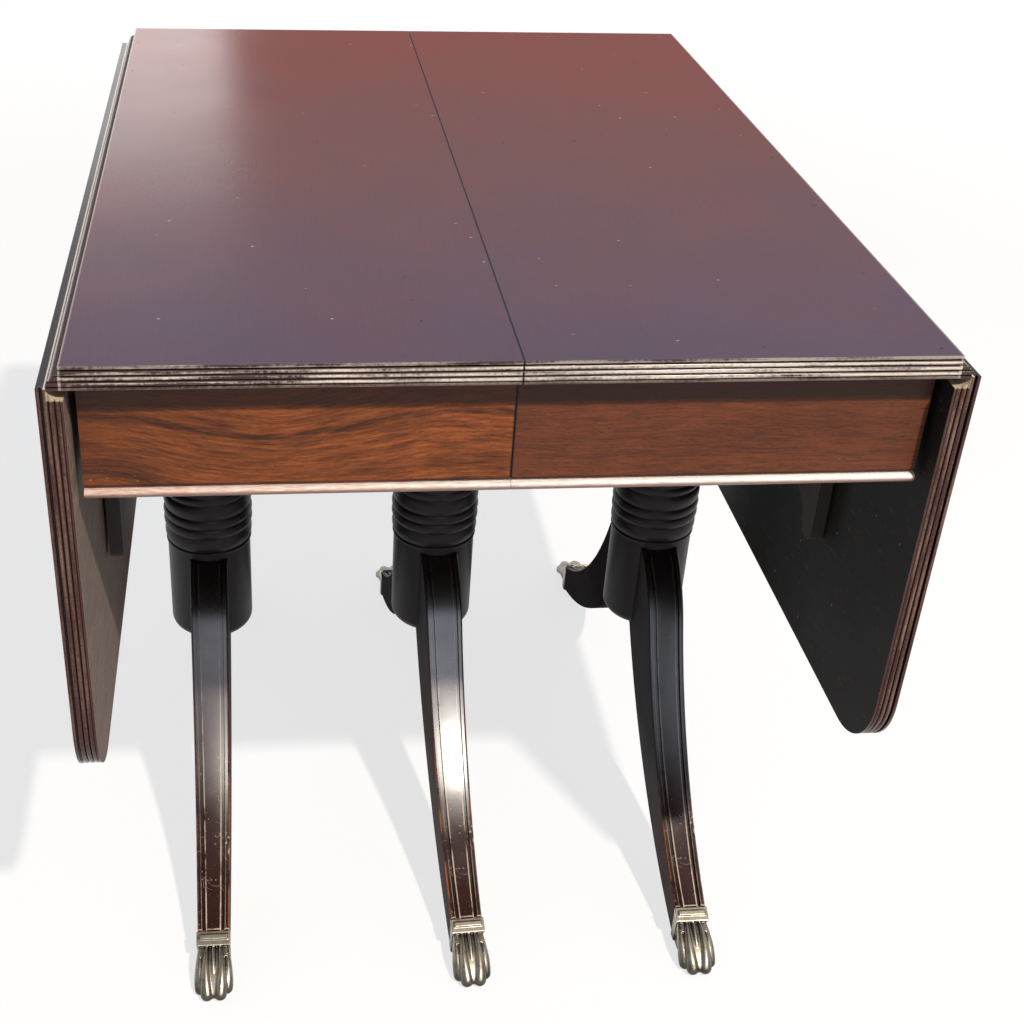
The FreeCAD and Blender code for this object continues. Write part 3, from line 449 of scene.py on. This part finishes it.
def pedestalWood(side, kind):
    material, tree, shader = newMaterial(side + kind + "Wood")
    coords = addNode(tree, "TexCoord").outputs["Object"]
    # the pedestal's own axes, with its column at the origin
    centred = addNode(tree, "Mapping", {"Vector": coords, "Location": (columnX[side], 0, 0),
                                        "Rotation": (0, 0, pedestalTurn[side])}, vector_type="TEXTURE")
    along, backward, height = addNode(tree, "SeparateXYZ", {0: centred}).outputs
    aside = addNode(tree, "Math", {0: along}, operation="ABSOLUTE")
    out = addNode(tree, "Math", {0: backward}, operation="ABSOLUTE")
    streaks = grainStreaks(tree, centred, 2, pedestal["grainPitch"], pedestal["grainReach"])
    low = addNode(tree, "MapRange", {"Value": height, "From": pedestal["brownHeight"]})
    # the right leg's brown starts further out, painting the right leaf's shadow onto it
    brownFrom = pedestal["brownFrom"][side] * mm
    brownTo = brownFrom + pedestal["brownOver"] * mm
    most = float(kind == "Leg")  # only the front legs turn brown
    farOut = addNode(tree, "MapRange", {"Value": out, "From": (brownFrom, brownTo), "To": (0.0, most)})
    low = addNode(tree, "Math", {0: low, 1: farOut}, operation="MULTIPLY")
    colour = addNode(tree, "MixRGB", {"Fac": streaks, "Color1": pedestal["dark"], "Color2": pedestal["stain"]})
    browning = addNode(tree, "MapRange", {"Value": streaks, "From": (0.25, 0.65)})
    browning = addNode(tree, "Math", {0: browning, 1: farOut}, operation="MULTIPLY")
    colour = addNode(tree, "MixRGB", {"Fac": browning, "Color1": colour, "Color2": pedestal["brown"]})

    # the leg narrows towards the foot; its grooves are painted near black as shade, and rubbed lines follow its
    # bead
    halfWidth = addNode(tree, "MapRange", {
        "Value": out, "From": (pedestal["legRoot"] * mm, pedestal["legEnd"] * mm),
        "To": (pedestal["rootWidth"] * mm, pedestal["endWidth"] * mm)})
    inset = addNode(tree, "Math", {0: halfWidth, 1: aside}, operation="SUBTRACT")
    bead, panel, blend = [pedestal[name] * mm for name in ("bead", "panel", "blend")]
    # the grooves are painted near black as shade, less so low on the leg
    grooveShade = addNode(tree, "MapRange", {"Value": inset, "From": (bead, bead + blend)})
    offPanel = addNode(tree, "MapRange", {"Value": inset, "From": (panel, panel - blend)})
    grooveShade = addNode(tree, "Math", {0: grooveShade, 1: offPanel}, operation="MULTIPLY")
    onLeg = addNode(tree, "MapRange", {"Value": out, "From": pedestal["legFace"]})
    grooveShade = addNode(tree, "Math", {0: grooveShade, 1: onLeg}, operation="MULTIPLY")
    fainterLow = addNode(tree, "MapRange", {"Value": low, "To": (1.0, 0.4)})
    grooveShade = addNode(tree, "Math", {0: grooveShade, 1: fainterLow}, operation="MULTIPLY")
    colour = addNode(tree, "MixRGB", {"Fac": grooveShade, "Color1": colour, "Color2": pedestal["groove"]})
    lines = addNode(tree, "Value")
    toEnd = addNode(tree, "Math", {0: pedestal["legEnd"] * mm, 1: out}, operation="SUBTRACT")
    for edge, at, half, strength in pedestal["lines"]:
        gap = addNode(tree, "Math", {0: toEnd if edge == "end" else inset, 1: at * mm}, operation="SUBTRACT")
        gap = addNode(tree, "Math", {0: gap}, operation="ABSOLUTE")
        line = addNode(tree, "MapRange", {"Value": gap, "From": (half * mm, half * 0.3 * mm),
                                          "To": (0.0, strength)})
        lines = addNode(tree, "Math", {0: lines, 1: line}, operation="MAXIMUM")
    patchy = addNode(tree, "TexNoise", {"Vector": coords, "Scale": pedestal["wearScale"],
                                        "Detail": 5.0, "Roughness": 0.65})
    # the rubbed lines are wear low on the leg and faint painted highlights higher up
    rubbed = addNode(tree, "MapRange", {"Value": patchy, "From": (0.34, 0.5)})
    rubbed = addNode(tree, "Math", {0: rubbed, 1: lines}, operation="MULTIPLY")
    fade = addNode(tree, "MapRange", {"Value": out, "From": pedestal["fade"], "To": (0.15, 1.0)})
    fade = addNode(tree, "Math", {0: fade, 1: onLeg}, operation="MULTIPLY")
    rubbed = addNode(tree, "Math", {0: rubbed, 1: fade}, operation="MULTIPLY")

    # orange rim, stray scratches and chips low on the leg, none of them on its flat sides
    facing = addNode(tree, "SeparateXYZ", {0: addNode(tree, "TexCoord").outputs["Normal"]})
    sideways = addNode(tree, "Math", {0: facing}, operation="ABSOLUTE")
    offSide = addNode(tree, "MapRange", {"Value": sideways, "From": (0.97, 0.85)})
    exposed = addNode(tree, "Math", {0: offSide, 1: low}, operation="MULTIPLY")
    rim = addNode(tree, "MapRange", {"Value": inset, "From": pedestal["rimWidth"]})
    rim = addNode(tree, "Math", {0: rim, 1: exposed}, operation="MULTIPLY")
    ragged = addNode(tree, "MapRange", {"Value": patchy, "From": (0.42, 0.58)})
    rim = addNode(tree, "Math", {0: rim, 1: ragged}, operation="MULTIPLY")
    colour = addNode(tree, "MixRGB", {"Fac": rim, "Color1": colour, "Color2": pedestal["rim"]})
    colour = addNode(tree, "MixRGB", {"Fac": rubbed, "Color1": colour, "Color2": pedestal["worn"]})
    tangle = addNode(tree, "TexNoise", {"Vector": centred, "Scale": pedestal["tangleScale"],
                                        "Detail": 1.0, "Distortion": 1.2})
    tangle = addNode(tree, "Math", {0: tangle, 1: 0.5}, operation="SUBTRACT")
    tangle = addNode(tree, "Math", {0: tangle}, operation="ABSOLUTE")
    scratches = addNode(tree, "MapRange", {"Value": tangle, "From": (0.008, 0.003), "To": (0.0, 0.75)})
    patches = addNode(tree, "TexNoise", {"Vector": centred, "Scale": pedestal["patchScale"], "Detail": 1.0})
    patches = addNode(tree, "MapRange", {"Value": patches, "From": (0.54, 0.6)})
    scratches = addNode(tree, "Math", {0: scratches, 1: patches}, operation="MULTIPLY")
    scratches = addNode(tree, "Math", {0: scratches, 1: exposed}, operation="MULTIPLY")
    colour = addNode(tree, "MixRGB", {"Fac": scratches, "Color1": colour, "Color2": pedestal["scratch"]})
    chips = grainStreaks(tree, centred, 2, pedestal["chipPitch"], pedestal["chipReach"])
    chips = addNode(tree, "MapRange", {"Value": chips, "From": (0.67, 0.71)})
    chips = addNode(tree, "Math", {0: chips, 1: exposed}, operation="MULTIPLY")
    colour = addNode(tree, "MixRGB", {"Fac": chips, "Color1": colour, "Color2": pedestal["fleck"]})
    tree.links.new(colour.outputs[0], shader.inputs["Base Color"])

    # wax: patchy, shinier where shoes rub it, none on the legs' flat sides and undersides
    waxed = pedestal["roughness"][kind]
    rough = addNode(tree, "MapRange", {"Value": patchy,
                                       "To": [waxed + extra for extra in pedestal["patchiness"]]})
    handled = addNode(tree, "MapRange", {"Value": height, "From": pedestal["handledHeight"],
                                         "To": (0.0, pedestal["handledGloss"])})
    rough = addNode(tree, "Math", {0: rough, 1: handled}, operation="ADD")
    specular = pedestal["specular"][kind]
    if kind == "Leg":
        specular *= pedestal["gloss"][side]
    shader.inputs["Specular IOR Level"].default_value = specular
    bump = addNode(tree, "Bump", {"Height": streaks, "Strength": 0.1, "Distance": 0.25 * mm})
    if kind != "Column":
        onSide = addNode(tree, "MapRange", {"Value": offSide, "To": (1.0, 0.0)})
        beneath = addNode(tree, "MapRange", {"Value": facing.outputs[2], "From": (-0.05, -0.25)})
        unwaxed = addNode(tree, "Math", {0: onSide, 1: beneath}, operation="MAXIMUM")
        rough = addNode(tree, "Math", {0: unwaxed, 1: pedestal["unwaxedRough"], 2: rough},
                        operation="MULTIPLY_ADD")
        tint = addNode(tree, "MixRGB", {"Fac": unwaxed, "Color1": "#ffffff", "Color2": pedestal["unwaxed"]})
        tree.links.new(tint.outputs[0], shader.inputs["Specular Tint"])
        bulge = addNode(tree, "Math", {0: aside, 1: aside}, operation="MULTIPLY")
        bulge = addNode(tree, "Math", {0: bulge, 1: -pedestal["crown"]}, operation="MULTIPLY")
        bulge = addNode(tree, "Math", {0: height, 1: -pedestal["fall"], 2: bulge}, operation="MULTIPLY_ADD")
        bulge = addNode(tree, "Math", {0: along, 1: -pedestal["lean"], 2: bulge}, operation="MULTIPLY_ADD")
        bump = addNode(tree, "Bump", {"Height": bulge, "Strength": 1.0, "Distance": 1.0, "Normal": bump})
    tree.links.new(rough.outputs[0], shader.inputs["Roughness"])
    tree.links.new(bump.outputs[0], shader.inputs["Normal"])
    return material


# plain structural timber: dry, unpolished and toned by age
timbers = {
    "runnerTimber": {"axis": 0, "pale": "#8f6b4a", "brown": "#5d4029"},
    "railTimber": {"axis": 1, "pale": "#84603f", "brown": "#563a25"},
    "stayTimber": {"axis": 2, "pale": "#2e201c", "brown": "#1f1513"},
}
timber = {
    "pore": "#2e1f16", "grainPitch": 2.4, "grainReach": 20.0, "porePitch": 0.6, "poreReach": 12.0,
    "roughness": 0.72,
}


def agedTimber(name):
    wood = timbers[name]
    material, tree, shader = newMaterial(name)
    coords = addNode(tree, "TexCoord").outputs["Object"]
    streaks = grainStreaks(tree, coords, wood["axis"], timber["grainPitch"], timber["grainReach"])
    tone = addNode(tree, "MapRange", {"Value": streaks, "From": (0.3, 0.7)})
    colour = addNode(tree, "MixRGB", {"Fac": tone, "Color1": wood["pale"], "Color2": wood["brown"]})
    pores = grainStreaks(tree, coords, wood["axis"], timber["porePitch"], timber["poreReach"])
    pores = addNode(tree, "MapRange", {"Value": pores, "From": (0.62, 0.7)})
    colour = addNode(tree, "MixRGB", {"Fac": pores, "Color1": colour, "Color2": timber["pore"]})
    tree.links.new(colour.outputs[0], shader.inputs["Base Color"])
    shader.inputs["Roughness"].default_value = timber["roughness"]
    bump = addNode(tree, "Bump", {"Height": streaks, "Strength": 0.25, "Distance": 0.3 * mm})
    tree.links.new(bump.outputs[0], shader.inputs["Normal"])
    return material


# cast brass aged to a silvery tan: bright where rubbed, dark tarnish in the hollows, and the toes near the floor
# painted dark as shade
brass = {
    "bright": "#bcb3a1", "tarnish": "#716757", "dark": "#1a1510", "cloudPitch": 11.0,
    "hollow": 8.0, "hollowDirt": (0.92, 0.58),
    "grimeHeight": (24 * mm, 7 * mm), "grime": 0.86, "polished": 0.22, "dulled": 0.44,
}


def agedBrass(name):
    material, tree, shader = newMaterial(name)
    coords = addNode(tree, "TexCoord").outputs["Object"]
    height = addNode(tree, "SeparateXYZ", {0: coords}).outputs[2]
    cloud = addNode(tree, "TexNoise", {"Vector": coords, "Scale": 1 / (brass["cloudPitch"] * mm),
                                       "Detail": 5.0, "Roughness": 0.6})
    openness = addNode(tree, "AmbientOcclusion", {"Distance": brass["hollow"] * mm}, samples=8).outputs["AO"]
    dirt = addNode(tree, "MapRange", {"Value": openness, "From": brass["hollowDirt"]})
    # the toes near the floor are painted dark as shade
    grime = addNode(tree, "MapRange", {"Value": height, "From": brass["grimeHeight"],
                                       "To": (0.0, brass["grime"])})
    dirt = addNode(tree, "Math", {0: dirt, 1: grime}, operation="MAXIMUM")
    patina = addNode(tree, "MapRange", {"Value": cloud, "From": (0.45, 0.75)})
    colour = addNode(tree, "MixRGB", {"Fac": patina, "Color1": brass["bright"], "Color2": brass["tarnish"]})
    colour = addNode(tree, "MixRGB", {"Fac": dirt, "Color1": colour, "Color2": brass["dark"]})
    tree.links.new(colour.outputs[0], shader.inputs["Base Color"])
    shader.inputs["Metallic"].default_value = 1.0
    rough = addNode(tree, "MapRange", {"Value": cloud, "To": (brass["polished"], brass["dulled"])})
    tree.links.new(rough.outputs[0], shader.inputs["Roughness"])
    bump = addNode(tree, "Bump", {"Height": cloud, "Strength": 0.12, "Distance": 0.3 * mm})
    tree.links.new(bump.outputs[0], shader.inputs["Normal"])
    return material


# pressed and filed fittings: fine scratches over a clouded surface
fittings = {
    "dullSteel": {"bright": "#8b8782", "dull": "#5d5852"},
    "plainBrass": {"bright": "#b8964f", "dull": "#7b6232"},
}
filing = {"scratchPitch": 0.4, "scratchReach": 20.0, "cloudScale": 90.0, "roughness": (0.3, 0.5)}


def filedMetal(name):
    metal = fittings[name]
    material, tree, shader = newMaterial(name)
    coords = addNode(tree, "TexCoord").outputs["Object"]
    scratches = grainStreaks(tree, coords, 1, filing["scratchPitch"], filing["scratchReach"])
    cloud = addNode(tree, "TexNoise", {"Vector": coords, "Scale": filing["cloudScale"], "Detail": 4.0})
    dulled = addNode(tree, "MapRange", {"Value": cloud, "From": (0.35, 0.7)})
    colour = addNode(tree, "MixRGB", {"Fac": dulled, "Color1": metal["bright"], "Color2": metal["dull"]})
    tree.links.new(colour.outputs[0], shader.inputs["Base Color"])
    shader.inputs["Metallic"].default_value = 1.0
    rough = addNode(tree, "MapRange", {"Value": scratches, "To": filing["roughness"]})
    tree.links.new(rough.outputs[0], shader.inputs["Roughness"])
    bump = addNode(tree, "Bump", {"Height": scratches, "Strength": 0.08, "Distance": 0.1 * mm})
    tree.links.new(bump.outputs[0], shader.inputs["Normal"])
    return material


finishes = {
    "top": polishedMahogany("mahoganyTop", False),
    "leaf": polishedMahogany("mahoganyLeaf", True),
    "leftApron": figuredVeneer("flameVeneer"),
    "rightApron": figuredVeneer("plainVeneer"),
    "bead": wornBead("wornBead"),
    "runner": agedTimber("runnerTimber"),
    "rail": agedTimber("railTimber"),
    "stay": agedTimber("stayTimber"),
    "paw": agedBrass("agedBrass"),
    "hinge": filedMetal("dullSteel"),
    "lock": filedMetal("plainBrass"),
}
for side in columnX:
    for kind in pedestal["specular"]:
        finishes[side + kind] = pedestalWood(side, kind)
slotOf = {piece["node"]: piece["material_slot"] for piece in frame["record"]["subparts"]}


def finishOf(node):
    side = node.split("_")[0]
    kind = slotOf[node].split("_")[0]
    if kind == "top":
        kind = "leaf" if node.endswith("_leaf") else "top"
    elif kind == "apron":
        kind = side + "Apron"
    elif kind == "pedestal":
        kind = side + {"column": "Column", "front": "Leg", "back": "BackLeg"}[node.split("_")[-1]]
    elif kind == "frame":
        kind = "runner" if "runner" in node or "dowel" in node else "rail"
    return finishes[kind]


for node, part in nodes.items():
    part.data.materials.clear()
    part.data.materials.append(finishOf(node))
print("finishes laid on", len(nodes), "nodes")

# paw shoes: tendons run from a plate with a bar and swell into four toes, modelled once and set on every leg
pawShoe = {
    # along a toe: distance out from the ankle, offset from the middle, height and radius in mm
    "ridge": ((12.0, 0.0, 32.6, 1.7), (24.0, 0.0, 29.6, 2.0), (36.0, 0.0, 23.5, 2.0),
              (45.0, 0.0, 15.0, 1.8), (50.0, 0.0, 9.0, 1.4)),
    "inner": ((12.0, 6.6, 32.2, 1.7), (22.0, 7.8, 29.6, 2.2), (35.0, 9.0, 23.0, 3.8),
              (47.0, 7.6, 13.5, 6.6), (53.0, 6.6, 7.0, 6.6)),
    "outer": ((10.0, 12.8, 28.5, 2.6), (22.0, 14.4, 24.5, 3.4), (34.0, 15.0, 17.5, 5.2),
              (42.0, 13.6, 9.5, 6.4), (45.0, 13.0, 6.6, 6.2)),
    # blocks: distance out, height, width, length and thickness in mm, and slope in degrees
    "sole": (25.0, 2.0, 24.0, 38.0, 4.0, 0.0),
    "heel": (10.5, 14.5, 29.4, 19.0, 28.6, 0.0),
    "bridge": (14.0, 28.6, 27.0, 16.0, 5.0, 22.0),
    "socket": (5.0, 18.5, 33.8, 10.0, 33.0, 0.0),
    "plate": (6.4, 35.6, 34.6, 15.0, 5.0, 26.0),
    "bar": (6.4, 38.6, 28.4, 5.2, 3.4, 26.0),
    "web": 2.4, "voxel": 0.45, "smoothing": 6, "roundness": 6, "segments": 24,
}
ankle = -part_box("left_paw_front")[1].y
bpy.ops.object.select_all(action="DESELECT")
toes = []
for kind, mirror in (("ridge", 1), ("inner", 1), ("inner", -1), ("outer", 1), ("outer", -1)):
    bpy.ops.curve.primitive_nurbs_path_add()
    toe = bpy.context.object
    toe.data.bevel_depth = mm
    toe.data.bevel_resolution = pawShoe["roundness"]
    toe.data.use_fill_caps = True
    for point, (out, offset, height, radius) in zip(toe.data.splines[0].points, pawShoe[kind]):
        point.co = (mirror * offset * mm, -ankle - out * mm, height * mm, 1.0)
        point.radius = radius
    bpy.ops.object.convert(target="MESH")
    toes.append(bpy.context.object)
    out, offset, height, radius = pawShoe[kind][-1]
    bpy.ops.mesh.primitive_uv_sphere_add(segments=pawShoe["segments"], ring_count=pawShoe["segments"] // 2,
                                         radius=radius * mm,
                                         location=(mirror * offset * mm, -ankle - out * mm, height * mm))
    toes.append(bpy.context.object)
blocks = {}
for kind in ("sole", "heel", "bridge", "socket", "plate", "bar"):
    out, height, width, length, thickness, slope = pawShoe[kind]
    bpy.ops.mesh.primitive_cube_add(size=mm, location=(0, -ankle - out * mm, height * mm),
                                    rotation=(math.radians(slope), 0, 0))
    blocks[kind] = bpy.context.object
    blocks[kind].scale = (width, length, thickness)
# a hull drawn in a little from the toes and the sole makes the webs between the toes
bpy.ops.object.select_all(action="DESELECT")
for part in toes + [blocks["sole"]]:
    part.select_set(True)
bpy.ops.object.duplicate()
bpy.context.view_layer.objects.active = bpy.context.selected_objects[0]
bpy.ops.object.join()
webs = bpy.context.object
bpy.ops.object.transform_apply(location=True, rotation=True, scale=True)
bpy.ops.object.mode_set(mode="EDIT")
bpy.ops.mesh.select_all(action="SELECT")
bpy.ops.mesh.convex_hull()
bpy.ops.mesh.normals_make_consistent(inside=False)
bpy.ops.object.mode_set(mode="OBJECT")
bpy.ops.object.modifier_add(type="DISPLACE")
webs.modifiers[-1].strength = -pawShoe["web"] * mm
webs.modifiers[-1].mid_level = 0.0
bpy.ops.object.modifier_apply(modifier=webs.modifiers[-1].name)
for part in toes + list(blocks.values()):
    part.select_set(True)
bpy.ops.object.join()
pawModel = bpy.context.object
bpy.ops.object.transform_apply(location=True, rotation=True, scale=True)
bpy.ops.object.modifier_add(type="REMESH")
pawModel.modifiers[-1].voxel_size = pawShoe["voxel"] * mm
bpy.ops.object.modifier_apply(modifier=pawModel.modifiers[-1].name)
bpy.ops.object.modifier_add(type="SMOOTH")
pawModel.modifiers[-1].iterations = pawShoe["smoothing"]
bpy.ops.object.modifier_apply(modifier=pawModel.modifiers[-1].name)
bpy.ops.object.shade_smooth()
pawModel.data.materials.clear()
pawModel.data.materials.append(finishes["paw"])
print("paw shoe has", len(pawModel.data.polygons), "faces")
bodies = frame["record"]["behaviour"]["bodies"]
for side, x in columnX.items():
    for end, half in (("front", 0.0), ("back", math.pi)):
        node = side + "_paw_" + end
        paw = bpy.data.objects.new(side + end.capitalize() + "PawShoe", pawModel.data.copy())
        turn = Matrix.Rotation(pedestalTurn[side] + half, 4, "Z")
        paw.data.transform(Matrix.Translation((x, 0, 0)) @ turn)
        bpy.context.scene.collection.objects.link(paw)
        body = [name for name, members in bodies.items() if node in members][0]
        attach(paw, body)
        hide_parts(node)
bpy.data.objects.remove(pawModel)
print("paw shoes modelled")

# pale studio floor: it bounces like grey paper and shows as white, more so with distance from the table
floorLook = {
    "size": 60.0, "grey": "#979797", "roughness": 0.9, "specular": 0.1,
    "distance": (2.0, 8.0), "lift": (0.72, 1.0),
}
bpy.ops.object.select_all(action="DESELECT")
bpy.ops.mesh.primitive_plane_add(size=floorLook["size"])
floor = bpy.context.object
floor.name = "studioFloor"
material, tree, shader = newMaterial("paleFloor")
shader.inputs["Base Color"].default_value = linearFromHex(floorLook["grey"])
shader.inputs["Roughness"].default_value = floorLook["roughness"]
shader.inputs["Specular IOR Level"].default_value = floorLook["specular"]
shader.inputs["Emission Color"].default_value = (1, 1, 1, 1)
rays = addNode(tree, "LightPath").outputs
seen = addNode(tree, "Math", {0: rays["Is Camera Ray"], 1: rays["Is Glossy Ray"]}, operation="MAXIMUM")
seen = addNode(tree, "Math", {0: seen, 1: rays["Is Transmission Ray"]}, operation="MAXIMUM")
coords = addNode(tree, "TexCoord").outputs["Object"]
away = addNode(tree, "VectorMath", {0: coords}, operation="LENGTH").outputs["Value"]
lift = addNode(tree, "MapRange", {"Value": away, "From": floorLook["distance"], "To": floorLook["lift"]})
lift = addNode(tree, "Math", {0: seen, 1: lift}, operation="MULTIPLY")
tree.links.new(lift.outputs[0], shader.inputs["Emission Strength"])
floor.data.materials.append(material)

# lamps: a key at the front right, a panel in front for reflections only, and a low panel behind on the left
lamps = {
    "keyLamp": {"azimuth": 26.0, "elevation": 49.5, "distance": 12.0, "size": (0.4, 0.4), "power": 1400.0,
                "tint": "#fff6ea"},
    "sheenPanel": {"azimuth": 12.0, "elevation": 28.0, "distance": 4.0, "size": (3.0, 2.3), "power": 58.0,
                   "tint": "#eaf0ff"},
    "backPanel": {"azimuth": 190.0, "elevation": 13.8, "distance": 4.2, "size": (0.85, 0.8), "power": 4.2,
                  "tint": "#ffffff"},
}
for name, lamp in lamps.items():
    data = bpy.data.lights.new(name, "AREA")
    data.shape = "RECTANGLE"
    data.size, data.size_y = lamp["size"]
    data.energy = lamp["power"]
    data.color = linearFromHex(lamp["tint"])[:3]
    turn = math.radians(lamp["azimuth"])
    rise = math.radians(lamp["elevation"])
    direction = Vector((math.sin(turn) * math.cos(rise), -math.cos(turn) * math.cos(rise), math.sin(rise)))
    lampObject = bpy.data.objects.new(name, data)
    lampObject.location = Vector((0, 0, underside)) + direction * lamp["distance"]
    lampObject.rotation_euler = direction.to_track_quat("Z", "Y").to_euler()
    lampObject.visible_camera = False
    lampObject.visible_diffuse = name != "sheenPanel"
    bpy.context.scene.collection.objects.link(lampObject)

# sky: a soft bright band above a dimmer horizon, white where it shows behind the table
skySteps = ((0.0, "#8f8a88"), (0.24, "#8f8a88"), (0.42, "#dfe4f0"), (0.6, "#dfe4f0"), (0.75, "#7d8088"))
skyFill = 0.6  # strength of the sky as soft light
sky = bpy.data.worlds.new("studioSky")
bpy.context.scene.world = sky
sky.use_nodes = True
tree = sky.node_tree
aim = addNode(tree, "SeparateXYZ", {0: addNode(tree, "TexCoord").outputs["Generated"]})
shades = addNode(tree, "ValToRGB", {0: aim.outputs[2]})
while len(shades.color_ramp.elements) < len(skySteps):
    shades.color_ramp.elements.new(0.5)
for element, (at, tint) in zip(shades.color_ramp.elements, skySteps):
    element.position = at
    element.color = linearFromHex(tint)
rays = addNode(tree, "LightPath").outputs
level = addNode(tree, "MapRange", {"Value": rays["Is Diffuse Ray"], "To": (1.0, skyFill)})
shown = addNode(tree, "MixRGB", {"Fac": rays["Is Camera Ray"], "Color1": shades, "Color2": "#ffffff"})
tree.links.new(level.outputs[0], tree.nodes["Background"].inputs["Strength"])
tree.links.new(shown.outputs[0], tree.nodes["Background"].inputs["Color"])

# camera as the table was seen, in front and a little to the left
lens = {
    "focal": 53.2547, "sensor": 36.0, "shift": 92 / 1024,
    "at": (-0.188, -1.425, 1.2283), "turn": (58.198, -2.0108, -5.6246),
}
camera = bpy.data.objects.new("photoCamera", bpy.data.cameras.new("photoCamera"))
camera.data.lens = lens["focal"]
camera.data.sensor_width = lens["sensor"]
camera.data.shift_x = lens["shift"]
camera.location = lens["at"]
camera.rotation_euler = [math.radians(angle) for angle in lens["turn"]]
bpy.context.scene.collection.objects.link(camera)
bpy.context.scene.camera = camera
bpy.context.scene.view_settings.view_transform = "Standard"
print("studio set")
